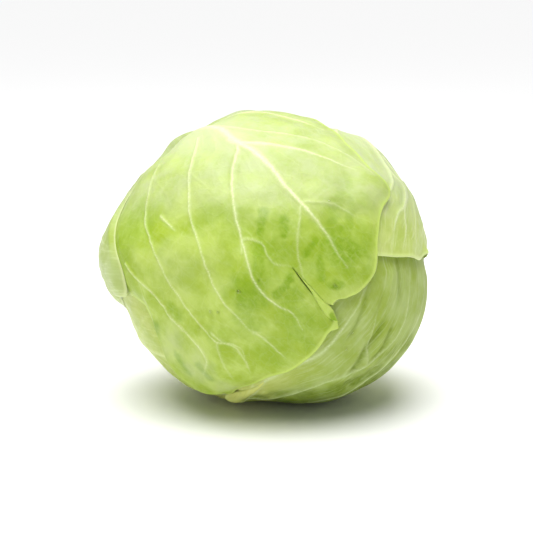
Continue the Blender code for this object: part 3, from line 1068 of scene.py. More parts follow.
@dataclass(frozen=True)
class LeafRoll:
    """A solid tapered roll that lies along a line of a leaf's drawing, round in section."""

    name: str
    leaf: WrapperLeaf
    stations: tuple[Spot, ...]  # places along it, with half its width and half its height, in mm
    rim: float  # how far it has the margin's colour, 0 to 1
    base: float  # how far it has the base's colour, 0 to 1
    sides: int = 14  # how many points its section has
    step: float = 0.5  # mm between its sections
    lowest: float = 0.05  # mm above the floor

    def build(self) -> bpy.types.Object:
        """Builds the roll on its leaf.

        Returns:
            The roll.
        """
        leaf, sides = self.leaf, self.sides
        rows = softened(self.stations, self.step)
        heading = np.gradient(rows[:, :2], axis=0)
        heading = heading / np.hypot(heading[:, 0], heading[:, 1])[:, None]
        beside = np.column_stack((-heading[:, 1], heading[:, 0]))
        turns = np.arange(sides) * TURN / sides
        places = rows[:, None, :2] + (rows[:, 2, None] * np.cos(turns))[:, :, None] * beside[:, None, :]
        lifts = rows[:, 3, None] * np.sin(turns)
        flat = np.vstack((places.reshape(-1, 2), rows[:1, :2], rows[-1:, :2]))
        lift = np.concatenate((lifts.ravel(), (0.0, 0.0)))
        ways = leaf.drawing.wrapped(flat)
        radii = leaf.pile_radius(ways) + leaf.layering.gap + leaf.drawing.stand_off(flat)
        radii = radii + leaf.drawing.thickness(flat) + lift
        points = leaf.form.placed(ways, radii, np.full(len(flat), self.lowest))
        faces = []
        for row in range(len(rows) - 1):
            for side in range(sides):
                here, beyond = row * sides + side, row * sides + (side + 1) % sides
                faces.append((here, beyond, beyond + sides, here + sides))
        first, last = len(flat) - 2, len(flat) - 1
        end = (len(rows) - 1) * sides
        for side in range(sides):
            follower = (side + 1) % sides
            faces.append((first, follower, side))
            faces.append((last, end + side, end + follower))
        values = {name: np.zeros(len(flat)) for name in Attribute}
        values[Attribute.PATCH] = leaf.darkened(flat)
        values[Attribute.RIM] = self.rim * (1.0 - values[Attribute.PATCH])
        values[Attribute.BASE] = np.full(len(flat), self.base)
        piece = leaf_piece(
            self.name, points, faces, flat, leaf.grain(flat), values, leaf.plan.finish, self.name + "_finish"
        )
        face_outwards(piece)
        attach(piece, BODY)
        return piece


@dataclass(frozen=True)
class Droplets:
    """The water drops on the leaves."""

    spots: tuple[tuple[str, float, float, float], ...]  # leaf, x and y on its drawing, and radius, in mm
    lift: float = 0.3  # how far a drop's middle is above the leaf, as a share of its radius
    flatness: float = 0.6
    segments: int = 20
    rings: int = 12
    roughness: float = 0.03
    refraction: float = 1.33

    def build(self, leaves: dict[str, WrapperLeaf]) -> bpy.types.Object:
        """Makes the drops as one piece.

        Args:
            leaves: The built leaves by node.

        Returns:
            The drops.
        """
        made = []
        for node, x, y, radius in self.spots:
            leaf = leaves[node]
            way = Vector(leaf.drawing.wrapped(np.array([[x, y]]))[0])
            place = leaf.nearest_point(x, y) + way * (radius * self.lift * MM)
            clear_selection()
            bpy.ops.mesh.primitive_uv_sphere_add(
                segments=self.segments, ring_count=self.rings, radius=radius * MM, location=place,
                rotation=way.to_track_quat("Z", "Y").to_euler(), scale=(1.0, 1.0, self.flatness),
            )
            bpy.ops.object.transform_apply(location=True, rotation=True, scale=True)
            made.append(bpy.context.object)
        clear_selection()
        for drop in made:
            drop.select_set(True)
        bpy.context.view_layer.objects.active = made[0]
        bpy.ops.object.join()
        piece = bpy.context.object
        piece.name = "droplets"
        bpy.ops.object.transform_apply(location=True, rotation=True, scale=True)
        piece.data.shade_smooth()
        water = NodeTree("water")
        water.surface({
            "Base Color": (1.0, 1.0, 1.0, 1.0), "Roughness": self.roughness, "IOR": self.refraction,
            "Transmission Weight": 1.0,
        })
        piece.data.materials.append(water.material)
        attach(piece, BODY)
        LOG.info("%s: %d faces", piece.name, len(piece.data.polygons))
        return piece


@dataclass(frozen=True)
class Pattern:
    """A noise pattern, and how its values are spread: the noise that becomes the lowest value, the
    noise that becomes the highest, and those two values where they aren't 0 and 1."""

    scale: float
    detail: float
    values: Range = ()
    rough: float = 0.55


class NodeTree:
    """A material's nodes, added and joined by name."""

    def __init__(self, name: str) -> None:
        """Starts a material with its shader and output.

        Args:
            name: The material's name.
        """
        self.material = bpy.data.materials.new(name)
        self.material.use_nodes = True
        self.tree = self.material.node_tree
        self.shader = self.tree.nodes["Principled BSDF"]

    def node(self, kind: str, **settings: object) -> bpy.types.Node:
        """Adds a node and sets its properties.

        Args:
            kind: Blender's name of the node.
            **settings: Its properties by name.

        Returns:
            The node.
        """
        made = self.tree.nodes.new(kind)
        for name, value in settings.items():
            setattr(made, name, value)
        return made

    def join(self, source: Socket, target: Socket) -> None:
        """Links one socket to another."""
        self.tree.links.new(source, target)

    def surface(self, settings: dict[str, object]) -> None:
        """Sets the shader's own values by the names of its sockets."""
        for name, value in settings.items():
            self.shader.inputs[name].default_value = value

    def attribute(self, name: Attribute) -> Socket:
        """Returns a vertex value's socket."""
        return self.node("ShaderNodeAttribute", attribute_name=name.value).outputs["Fac"]

    def object_place(self) -> Socket:
        """Returns the socket of the place on the object."""
        return self.node("ShaderNodeTexCoord").outputs["Object"]

    def coordinates(self, name: UVName, scale: Triple) -> Socket:
        """Returns a UV map's socket, scaled."""
        source = self.node("ShaderNodeUVMap", uv_map=name.value)
        mapping = self.node("ShaderNodeMapping")
        mapping.inputs["Scale"].default_value = scale
        self.join(source.outputs["UV"], mapping.inputs["Vector"])
        return mapping.outputs["Vector"]

    def mix(
        self, first: Socket | Colour, second: Socket | Colour, share: Socket | float, blend: str = "MIX"
    ) -> Socket:
        """Mixes two colours.

        Args:
            first: The colour where the share is 0.
            second: The colour where it is 1.
            share: The share, or its socket.
            blend: The way they mix.

        Returns:
            The mixed colour's socket.
        """
        made = self.node("ShaderNodeMix", data_type="RGBA", blend_type=blend)
        for name, value in (("Factor", share), ("A", first), ("B", second)):
            if isinstance(value, tuple):
                made.inputs[name].default_value = (*value, 1.0)
            elif isinstance(value, float):
                made.inputs[name].default_value = value
            else:
                self.join(value, made.inputs[name])
        return made.outputs["Result"]

    def span(self, source: Socket, low: float, high: float, start: float = 0.0, end: float = 1.0) -> Socket:
        """Maps a value smoothly from one range to another.

        Args:
            source: The value's socket.
            low: The value that becomes start.
            high: The value that becomes end.
            start: The result at low.
            end: The result at high.

        Returns:
            The result's socket.
        """
        made = self.node("ShaderNodeMapRange", interpolation_type="SMOOTHSTEP")
        self.join(source, made.inputs["Value"])
        for name, value in (("From Min", low), ("From Max", high), ("To Min", start), ("To Max", end)):
            made.inputs[name].default_value = value
        return made.outputs["Result"]

    def maths(self, operation: str, first: Socket, second: Socket | float) -> Socket:
        """Calculates with two values.

        Args:
            operation: Blender's name of the operation.
            first: The first value's socket.
            second: The second value, or its socket.

        Returns:
            The result's socket.
        """
        made = self.node("ShaderNodeMath", operation=operation)
        self.join(first, made.inputs[0])
        if isinstance(second, float):
            made.inputs[1].default_value = second
        else:
            self.join(second, made.inputs[1])
        return made.outputs["Value"]

    def vectors(self, operation: str, first: Socket, second: Triple) -> bpy.types.Node:
        """Returns a node that calculates with a vector's socket and a fixed vector."""
        made = self.node("ShaderNodeVectorMath", operation=operation)
        self.join(first, made.inputs[0])
        made.inputs[1].default_value = second
        return made

    def noise(self, vector: Socket, pattern: Pattern) -> Socket:
        """Returns a noise pattern's value socket, before its values are spread."""
        made = self.node("ShaderNodeTexNoise")
        self.join(vector, made.inputs["Vector"])
        made.inputs["Scale"].default_value = pattern.scale
        made.inputs["Detail"].default_value = pattern.detail
        made.inputs["Roughness"].default_value = pattern.rough
        return made.outputs["Fac"]

    def spread(self, vector: Socket, pattern: Pattern) -> Socket:
        """Returns a noise pattern's value socket, with its values spread."""
        return self.span(self.noise(vector, pattern), *pattern.values)

    def net(self, vector: Socket, scale: float) -> Socket:
        """Returns the distance to the lines of a net of cells."""
        made = self.node("ShaderNodeTexVoronoi", feature="DISTANCE_TO_EDGE")
        self.join(vector, made.inputs["Vector"])
        made.inputs["Scale"].default_value = scale
        return made.outputs["Distance"]

    def bump(self, height: Socket, strength: float, distance: float) -> None:
        """Gives the surface a relief too fine for its mesh, distance in metres."""
        made = self.node("ShaderNodeBump")
        made.inputs["Strength"].default_value = strength
        made.inputs["Distance"].default_value = distance
        self.join(height, made.inputs["Height"])
        self.join(made.outputs["Normal"], self.shader.inputs["Normal"])


@dataclass(frozen=True)
class LeafMaterial:
    """Paints a leaf: mottled blade, darker patches with painted shade in its valleys, a fine net, pale veins,
    a pale margin, and a painted sheen on the head's upper side.
    The patterns are on maps with one unit for each 100 mm."""

    finish: LeafFinish
    grain_scale: Triple = (1.0, 0.09, 1.0)  # draws patterns out along the midrib
    warp_scale: float = 16.0
    warp: float = 0.028
    mottle: Pattern = Pattern(5.5, 4.0, (0.36, 0.64))
    blotch: Pattern = Pattern(34.0, 3.0, (0.35, 0.65, 0.7, 1.0), 0.6)
    streak: Pattern = Pattern(62.0, 3.0, (), 0.6)
    cloud: Pattern = Pattern(9.0, 4.0, (0.3, 0.7, 0.3, 0.75), 0.6)
    speckle: Pattern = Pattern(90.0, 3.0, (0.35, 0.65, 0.62, 1.0), 0.6)
    gloss: Pattern = Pattern(24.0, 4.0)
    pores: Pattern = Pattern(240.0, 2.0)
    paling: Range = (0.2, 0.58, 0.0, 0.9)
    margin: Range = (0.25, 1.0, 0.0, 0.75)
    pale_streaks: Range = (0.5, 0.72)
    dark_streaks: Range = (0.5, 0.3)
    gloss_values: Range = (0.3, 0.7)
    glossier: float = 0.07
    duller: float = 0.09
    coarse_cells: float = 100.0  # the net's scale for a cell of 1 mm
    fine_cells: float = 310.0  # and that of the finer net in its cells
    coarse_line: float = 0.055  # lines are in shares of a cell
    fine_line: float = 0.09
    fine_share: float = 0.5
    coarse_relief: Range = (0.0, 0.12, 0.4, 0.0)
    fine_relief: Range = (0.0, 0.2, 0.2, 0.0)
    streak_relief: float = 1.6
    pore_relief: float = 0.25
    bump_strength: float = 0.2
    bump_height: float = 0.0004
    glow: float = 0.12  # the light that passes through the leaf's surface
    glow_reach: Triple = (0.6, 1.0, 0.2)
    glow_scale: float = 0.003

    def build(self, name: str) -> bpy.types.Material:
        """Makes the material.

        Args:
            name: Its name.

        Returns:
            The material.
        """
        look = self.finish
        nodes = NodeTree(name)
        flat = nodes.coordinates(UVName.FLAT, (1.0, 1.0, 1.0))
        colour, streaks = self._blade(nodes, flat)

        wander = nodes.node("ShaderNodeTexNoise")
        nodes.join(flat, wander.inputs["Vector"])
        wander.inputs["Scale"].default_value = self.warp_scale
        warped = nodes.mix(flat, wander.outputs["Color"], self.warp, "LINEAR_LIGHT")
        coarse = nodes.net(warped, self.coarse_cells / look.cell)
        fine = nodes.net(warped, self.fine_cells / look.cell)
        fine_lines = nodes.span(fine, 0.0, self.fine_line, look.net * self.fine_share, 0.0)
        colour = nodes.mix(colour, look.vein, fine_lines)
        colour = nodes.mix(colour, look.vein, nodes.span(coarse, 0.0, self.coarse_line, look.net, 0.0))

        speckle = nodes.spread(flat, self.speckle)
        vein = nodes.maths("MULTIPLY", nodes.attribute(Attribute.VEIN), speckle)
        colour = nodes.mix(colour, look.vein, vein)
        rim = nodes.span(nodes.attribute(Attribute.RIM), *self.margin)
        nodes.join(nodes.mix(colour, look.rim, rim), nodes.shader.inputs["Base Color"])

        dull, rough = nodes.noise(flat, self.gloss), look.roughness
        roughness = nodes.span(dull, *self.gloss_values, rough - self.glossier, rough + self.duller)
        nodes.join(roughness, nodes.shader.inputs["Roughness"])
        relief = nodes.maths(
            "ADD", nodes.span(coarse, *self.coarse_relief), nodes.span(fine, *self.fine_relief)
        )
        for source, height in (
            (streaks, self.streak_relief * look.streaks),
            (nodes.noise(flat, self.pores), self.pore_relief),
        ):
            relief = nodes.maths("ADD", relief, nodes.maths("MULTIPLY", source, height))
        nodes.bump(relief, self.bump_strength, self.bump_height)
        nodes.surface({
            "Specular IOR Level": look.shine, "Subsurface Weight": self.glow,
            "Subsurface Radius": self.glow_reach, "Subsurface Scale": self.glow_scale,
        })
        return nodes.material

    def _blade(self, nodes: NodeTree, flat: Socket) -> tuple[Socket, Socket]:
        """Paints what lies under the net and the veins.

        Args:
            nodes: The material's nodes.
            flat: The flat map's socket.

        Returns:
            The colour's socket, and that of the streaks.
        """
        look = self.finish
        colour = nodes.mix(look.light, look.deep, nodes.spread(flat, self.mottle))
        colour = nodes.mix(colour, look.base, nodes.span(nodes.attribute(Attribute.BASE), *self.paling))
        blotch = nodes.spread(flat, self.blotch)
        # darker green patches and stains, with the painted shade of the valleys and of the underside band
        darkening_and_shade = nodes.maths("MULTIPLY", nodes.attribute(Attribute.PATCH), blotch)
        colour = nodes.mix(colour, look.patch, darkening_and_shade)
        streaks = nodes.noise(nodes.coordinates(UVName.GRAIN, self.grain_scale), self.streak)
        for paint, reach in ((look.vein, self.pale_streaks), (look.deep, self.dark_streaks)):
            colour = nodes.mix(colour, paint, nodes.span(streaks, *reach, 0.0, look.streaks))
        # painted sheen and waxy bloom: the upper side and the paler spots lighten towards the sheen colour
        cloud = nodes.spread(flat, self.cloud)
        sheen_and_bloom_share = nodes.maths("MULTIPLY", nodes.attribute(Attribute.BLOOM), cloud)
        return nodes.mix(colour, look.bloom, sheen_and_bloom_share), streaks


FRONT_FINISH = LeafFinish(
    light=(0.48, 0.61, 0.12), deep=(0.34, 0.47, 0.03), patch=(0.20, 0.35, 0.0),
    vein=(0.80, 0.86, 0.50), rim=(0.58, 0.74, 0.16), base=(0.66, 0.75, 0.38),
    net=0.045, streaks=0.05, shine=0.28, bloom=(0.51, 0.58, 0.30),
)
# The patch colour of this lower leaf is deepened so that it also paints the shade of the head's underside.
GREY_FINISH = LeafFinish(
    light=(0.40, 0.50, 0.15), deep=(0.31, 0.41, 0.06), patch=(0.13, 0.20, 0.0),
    vein=(0.62, 0.71, 0.37), rim=(0.60, 0.70, 0.31), base=(0.68, 0.70, 0.21),
    streaks=0.3, net=0.03, roughness=0.5, shine=0.1,
)
SHOULDER_FINISH = LeafFinish(
    light=(0.56, 0.66, 0.20), deep=(0.46, 0.58, 0.11), patch=(0.26, 0.40, 0.01),
    vein=(0.76, 0.84, 0.48), rim=(0.68, 0.80, 0.30), base=(0.74, 0.82, 0.42),
    streaks=0.35, net=0.04,
)
# Its pale rim is partly the margin's own paleness and partly painted light that lifts the shade along its
# edge.
BACK_FINISH = LeafFinish(
    light=(0.44, 0.54, 0.18), deep=(0.36, 0.46, 0.09), patch=(0.22, 0.34, 0.01),
    vein=(0.66, 0.74, 0.38), rim=(0.64, 0.73, 0.32), base=(0.54, 0.62, 0.28),
    streaks=0.35, net=0.04, shine=0.25, bloom=(0.44, 0.50, 0.30),
)
UNDER_FINISH = LeafFinish(
    light=(0.45, 0.54, 0.09), deep=(0.36, 0.47, 0.04), patch=(0.20, 0.33, 0.0),
    vein=(0.66, 0.74, 0.30), rim=(0.56, 0.70, 0.16), base=(0.58, 0.68, 0.20),
    streaks=0.25, net=0.08,
)

LEAVES = (
    LeafPlan(
        "leaf_left_under", 75, 240,
        edge=((0, 66), (38, 68), (72, 54), (88, 14), (84, -38), (64, -88), (36, -116), (0, -116),
              (-34, -116), (-64, -88), (-84, -40), (-90, 8), (-72, 46), (-38, 62)),
        rib=((0, -116), (2, -50), (6, 0), (10, 50)),
        finish=UNDER_FINISH, seed=1, fineness=8,
        veins=(
            Vein(((0, -112), (2, -50), (6, 0), (10, 50)), 3.0, 0.8, 1.0),
            Vein(((1, -80), (-26, -42), (-44, -4), (-54, 30)), 1.6, 0.5, 0.7, 0.35),
            Vein(((2, -60), (28, -34), (46, -4), (58, 34)), 1.6, 0.5, 0.7, 0.35),
            Vein(((3, -34), (-14, -8), (-24, 20), (-30, 48)), 1.2, 0.5, 0.6, 0.3),
            Vein(((4, -16), (22, 4), (32, 26), (36, 52)), 1.2, 0.5, 0.6, 0.3),
        ),
        patches=((-10, 6, 5.0, 0.5),),
    ),
    LeafPlan(
        "leaf_right_under", 68, 165,
        edge=((0, 122), (44, 116), (82, 92), (104, 56), (106, 8), (92, -48), (66, -98), (36, -126),
              (0, -125), (-38, -126), (-62, -94), (-62, -48), (-51, -3), (-56, 32), (-60, 76),
              (-38, 108)),
        rib=((-6, -126), (-32, -60), (-45, 1), (-43, 26), (-26, 46), (-5, 59), (20, 71), (40, 82),
             (46, 94)),
        finish=GREY_FINISH, bumps=((-46, 0, 0.6, 7.5),), seed=2, fineness=12,
        pressed=((-60, -14, 30.0),),
        veins=(
            Vein(((-6, -122), (-32, -60), (-43, -6), (-42, 13), (-40, 26), (-37, 36), (-31, 44), (-23, 51),
                  (-14, 57), (-8, 60), (-2, 64), (7, 71), (17, 77), (26, 83), (36, 88)), 2.2, 0.5, 1.2),
            Vein(((-43, -6), (-41, 9), (-32, 9), (-26, 18), (-17, 29), (-7, 38), (4, 39), (12, 39), (16, 40),
                  (22, 42), (30, 44), (40, 48), (46, 53), (53, 58), (62, 63)), 0.9, 0.5, 1.3, 0.8),
            Vein(((15, 41), (16, 49), (18, 55), (22, 62), (27, 68)), 0.8, 0.4, 0.9, 0.5),
            Vein(((-34, -40), (-20, -10), (-2, 14), (20, 26), (44, 34), (70, 40)), 1.6, 0.5, 0.8),
            Vein(((-24, -76), (0, -44), (26, -20), (56, -4), (84, 6)), 1.8, 0.5, 0.8),
            Vein(((-14, -100), (16, -74), (44, -54), (72, -38)), 1.6, 0.5, 0.7),
            Vein(((-43, 26), (-44, 48), (-46, 74), (-38, 96)), 1.0, 0.5, 0.5, 0.7),
        ),
        folds=(
            Fold(((30, 62), (25, 57), (17, 52), (10, 43), (5, 36)), 2.0, -1.0),
            Fold(((34, 55), (29, 49), (24, 44), (17, 41)), 1.6, -0.8),
            Fold(((26, 81), (19, 74), (11, 66), (4, 61)), 1.6, -0.6),
            Fold(((34, 74), (28, 68), (22, 63)), 1.4, -0.5),
            Fold(((34, 76), (18, 66), (6, 56), (-4, 48)), 3.0, 0.7),
            Fold(((22, 34), (11, 30), (2, 31)), 3.0, -0.8),
            Fold(((51, 79), (41, 73), (30, 67), (20, 62)), 2.5, 0.6),
            Fold(((60, 82), (50, 70), (40, 60)), 2.5, -0.6),
        ),
        # This band of patches across the lower side is partly darker green and partly painted shade of the
        # head's underside.
        patches=((-37, 8, 9.0, 0.85), (-21, 7, 9.0, 0.9), (-7, 12, 10.0, 0.9), (5, 16, 10.0, 0.9),
                 (18, 17, 9.0, 0.9), (30, 22, 9.0, 0.7), (41, 28, 8.0, 0.5), (-26, 22, 7.0, 0.5),
                 (-12, 22, 8.0, 0.8), (0, 27, 8.0, 0.85), (11, 29, 7.0, 0.85), (21, 31, 6.0, 0.7),
                 (30, 36, 6.0, 0.5),
                 (5, 31, 4.0, 0.9), (11, 28, 4.0, 0.9), (18, 29, 4.0, 0.8)),
        branch_gap=26.0,
    ),
    LeafPlan(
        "leaf_right_over", 85, 35,
        edge=((30, 92), (64, 74), (86, 34), (88, -18), (68, -66), (38, -102), (0, -101), (-34, -102),
              (-68, -74), (-86, -32), (-82, 12), (-61, 46), (-52, 59), (-40, 72), (-30, 82), (-20, 87),
              (4, 94)),
        rib=((0, -102), (2, -50), (-6, 5), (-22, 36), (-25, 52), (-23, 64), (-30, 78)),
        finish=SHOULDER_FINISH, seed=3, fineness=10, flutter=0.4,
        bumps=((-60, 48, 2.2, 5.0), (-44, 68, 0.8, 9.0), (-6, 6, 1.4, 15.0)),
        pressed=((-76, 26, 13.0),),
        veins=(
            Vein(((0, -98), (2, -50), (-6, 5), (-15, 31), (-25, 37), (-26, 51), (-23, 58), (-23, 66),
                  (-26, 74), (-30, 80)), 2.4, 0.6, 1.0),
            Vein(((-14, 20), (-27, 34), (-27, 53), (-32, 61), (-35, 71)), 1.1, 0.5, 0.6),
            Vein(((-30, 24), (-34, 32), (-37, 42), (-41, 53), (-46, 63)), 0.8, 0.45, 0.5, 0.6),
            Vein(((-15, 31), (-16, 42), (-14, 52), (-11, 60), (-6, 69)), 0.8, 0.45, 0.7, 0.8),
            Vein(((1, -66), (-24, -40), (-44, -10), (-52, 20), (-48, 48)), 1.8, 0.5, 0.8),
            Vein(((1, -80), (-34, -62), (-60, -34), (-72, 0)), 1.6, 0.5, 0.7),
            Vein(((2, -58), (26, -30), (40, 6), (44, 50)), 1.8, 0.5, 0.8),
            Vein(((1, -78), (34, -58), (58, -24), (70, 20)), 1.6, 0.5, 0.7),
            Vein(((-2, -20), (12, 12), (14, 48), (8, 82)), 1.3, 0.5, 0.7),
        ),
    ),
    LeafPlan(
        "leaf_back_right", 105, 120,
        edge=((0, 38), (30, 34), (60, 30), (84, 12), (86, -20), (62, -60), (34, -76), (0, -76),
              (-32, -77), (-66, -60), (-98, -22), (-104, 4), (-90, 22), (-58, 34), (-22, 40)),
        rib=((0, -77), (2, -30), (0, 10), (-4, 44)),
        finish=SHOULDER_FINISH, seed=4, fineness=8,
        veins=(
            Vein(((0, -74), (2, -30), (0, 10), (-4, 40)), 3.4, 0.8, 1.0),
            Vein(((1, -58), (-26, -42), (-52, -16), (-76, 14)), 1.8, 0.5, 0.8),
            Vein(((1, -44), (-18, -22), (-34, 6), (-44, 34)), 1.5, 0.5, 0.7),
            Vein(((1, -56), (28, -38), (50, -12), (66, 16)), 1.8, 0.5, 0.8),
            Vein(((2, -36), (20, -12), (30, 10), (34, 30)), 1.4, 0.5, 0.7),
        ),
    ),
    LeafPlan(
        "leaf_front", 66, -48,
        edge=((6, 97), (13, 105), (24, 106), (38, 104), (49, 100), (66, 92), (85, 81), (102, 67),
              (118, 54), (120, 39), (106, 23), (86, 13), (75, 5), (70, -6), (70, -20), (76, -48),
              (66, -92), (38, -129), (0, -129), (-40, -129), (-70, -92), (-84, -46), (-88, -6),
              (-83, 38), (-76, 58), (-73, 72), (-66, 77), (-56, 83), (-43, 92), (-35, 98),
              (-25, 103), (-12, 104), (-3, 100)),
        rib=((-4, -129), (-24, -60), (-32, -8), (-32, 14), (-28, 45), (-23, 70), (-18, 90)),
        finish=FRONT_FINISH, seed=5, fineness=14, flutter=0.5, slit=(86, 8),
        bumps=((-80, 66, 1.8, 12.0), (0, 92, 2.0, 11.0)), curl=0.6,
        pressed=((100, 30, 52.0),),
        tear_over=((4, 70), (5, 76), (6, 81), (7, 87), (8, 93), (6, 97)),
        tear_under=((4, 70), (6, 77), (8, 84), (9, 92), (11, 98), (12, 105)),
        veins=(
            Vein(((-4, -126), (-26, -64), (-34, -25), (-32, -7), (-31, 4), (-32, 13), (-31, 27),
                  (-28, 39), (-26, 52), (-24, 63), (-22, 74), (-19, 81), (-17, 90)), 4.2, 0.5, 1.5),
            Vein(((-30, -4), (-31, 3), (-42, 15), (-52, 27), (-59, 38), (-67, 52)), 1.8, 0.4, 0.8, 0.85),
            Vein(((-30, -50), (-35, -32), (-42, -6), (-55, 11), (-67, 26), (-74, 46), (-73, 59)),
                 0.8, 0.5, 0.6, 0.5),
            Vein(((-30, -4), (-29, 5), (-17, 14), (-7, 24), (2, 34), (10, 44), (16, 51), (23, 60),
                  (26, 73), (25, 83), (30, 92)), 1.0, 0.35, 0.7, 0.8),
            Vein(((-24, -28), (-8, -10), (4, 2), (14, 12), (23, 25), (29, 32), (36, 41), (41, 51),
                  (43, 59), (47, 67), (45, 73)), 0.45, 0.38, 0.6, 0.72),
            Vein(((0, -35), (8, -30), (21, -19), (28, -12), (33, -3), (40, 8), (48, 18), (52, 25),
                  (57, 34), (61, 44), (63, 53), (60, 60), (61, 67), (69, 72)), 0.38, 0.4, 0.6, 0.68),
            Vein(((63, 53), (73, 58), (87, 65)), 0.6, 0.4, 0.5, 0.4),
            Vein(((51, -12), (54, -5), (57, 5), (62, 17), (66, 23), (70, 37), (75, 47), (81, 49),
                  (91, 46)), 0.5, 0.6, 1.0, 0.7),
            Vein(((-22, -66), (-50, -44), (-68, -16), (-80, 14)), 1.2, 0.5, 0.9),
            Vein(((-16, -88), (-44, -72), (-66, -50)), 1.2, 0.5, 0.8),
            Vein(((14, 46), (8, 43), (4, 51), (7, 57), (8, 62), (4, 69)), 0.6, 0.4, 0.4, 0.42),
            Vein(((-26, 52), (-14, 60), (-7, 65), (-1, 71), (7, 80)), 0.7, 0.4, 0.4, 0.42),
            Vein(((-27, 52), (-34, 58), (-39, 63), (-43, 74)), 0.9, 0.5, 0.4, 0.35),
            Vein(((22, -4), (24, 9)), 0.6, 0.5, 0.4, 0.7),
            Vein(((60, 49), (61, 57), (61, 63), (67, 70), (75, 75)), 0.7, 0.5, 0.4, 0.5),
            Vein(((47, 70), (47, 75), (52, 91)), 0.7, 0.5, 0.4, 0.5),
        ),
        folds=(
            Fold(((-66, 50), (-56, 58), (-41, 64), (-29, 67)), 6.0, -0.9),
            Fold(((-74, 50), (-60, 66), (-46, 76)), 8.0, 0.9),
        ),
        patches=((2, 60, 11.0, 0.55), (13, 60, 9.0, 0.5), (30, 60, 10.0, 0.8), (16, 79, 8.0, 0.6),
                 (-10, 55, 9.0, 0.45), (-6, 76, 9.0, 0.45), (-23, 83, 13.0, 0.9), (42, 64, 9.0, 0.5),
                 (8, 21, 8.0, 0.35), (87, -11, 6.0, 0.4), (-36, 84, 11.0, 0.4), (-49, 62, 12.0, 0.35),
                 (26, 88, 14.0, 0.6), (2, 36, 12.0, 0.35), (61, 54, 8.0, 0.2), (0, 66, 26.0, 0.35),
                 (34, -20, 18.0, 0.5), (68, -10, 12.0, 0.15), (50, 84, 14.0, 0.3)),
        stains=(
            Fold(((-10, 42), (-6, 44), (0, 47)), 2.6, 0.9),
            Fold(((-13, 52), (-7, 57)), 3.4, 0.9),
            Fold(((-16, 70), (-11, 70), (-6, 71)), 2.4, 0.9),
            Fold(((-10, 77), (-6, 80), (-2, 84)), 3.0, 0.75),
            Fold(((8, 72), (15, 73), (22, 71)), 2.6, 0.95),
            Fold(((5, 51), (12, 55), (21, 60)), 4.0, 0.75),
            Fold(((27, 52), (30, 57), (32, 63)), 5.0, 0.7),
            Fold(((39, 63), (44, 68)), 5.0, 0.6),
            Fold(((-2, 90), (-6, 93)), 2.8, 0.9),
            Fold(((-34, 68), (-28, 69)), 2.6, 0.7),
            Fold(((75, 13), (81, 11)), 3.0, 0.8),
            Fold(((87, 29), (95, 35)), 3.0, 0.85),
            Fold(((86, 44), (92, 50)), 3.0, 0.85),
            Fold(((60, 22), (63, 28)), 3.2, 0.5),
            Fold(((-42, 70), (-36, 76), (-30, 78)), 3.0, 0.6),
            Fold(((-50, 60), (-45, 70)), 3.0, 0.5),
            Fold(((11.2, 99.5), (12.6, 102)), 1.8, 1.0),
        ),
        # paler spots: partly waxy bloom, partly painted light
        sheen_and_bloom_spots=((88, 42, 13.0, 0.7), (82, 24, 11.0, 0.6), (97, 58, 9.0, 0.6), (-58, 56, 9.0, 0.4),
                (38, 20, 14.0, 0.35), (29, 39, 10.0, 0.3)),
    ),
    LeafPlan(
        "leaf_back_left", 135, -60,
        edge=((0, 37), (18, 48), (31, 60), (42, 67), (56, 65), (62, 42), (70, 10), (66, -18),
              (44, -38), (0, -37), (-24, -38), (-54, -32), (-78, -6), (-84, 12), (-72, 25), (-50, 31),
              (-24, 33)),
        rib=((0, -38), (2, -18), (4, 10), (4, 42)),
        finish=BACK_FINISH, seed=6, fineness=8, flutter=0.2, bumps=((54, 58, 0.2, 8.0),),
        pressed=((30, 40, 90.0),),
        veins=(
            Vein(((0, -36), (2, -18), (4, 10), (4, 38)), 3.4, 0.8, 1.0),
            Vein(((1, -28), (-22, -16), (-44, 2), (-62, 20)), 1.6, 0.5, 0.8),
            Vein(((2, -14), (-12, 4), (-24, 22)), 1.2, 0.5, 0.6),
            Vein(((1, -28), (22, -18), (42, 6), (52, 50)), 1.8, 0.5, 0.8),
            Vein(((2, -16), (18, 6), (28, 32), (34, 56)), 1.4, 0.5, 0.7),
        ),
    ),
)


@dataclass(frozen=True)
class Heart:
    """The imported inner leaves."""

    light: Colour = (0.72, 0.80, 0.46)
    deep: Colour = (0.62, 0.74, 0.34)
    mottle: Pattern = Pattern(60.0, 4.0, (0.35, 0.65))
    roughness: float = 0.5

    def dress(self) -> None:
        """Gives the CAD heart its finish."""
        nodes = NodeTree("heart_finish")
        mottle = nodes.spread(nodes.object_place(), self.mottle)
        nodes.join(nodes.mix(self.light, self.deep, mottle), nodes.shader.inputs["Base Color"])
        nodes.surface({"Roughness": self.roughness})
        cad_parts["heart"].material_slots[0].material = nodes.material
        LOG.info("heart: dressed")


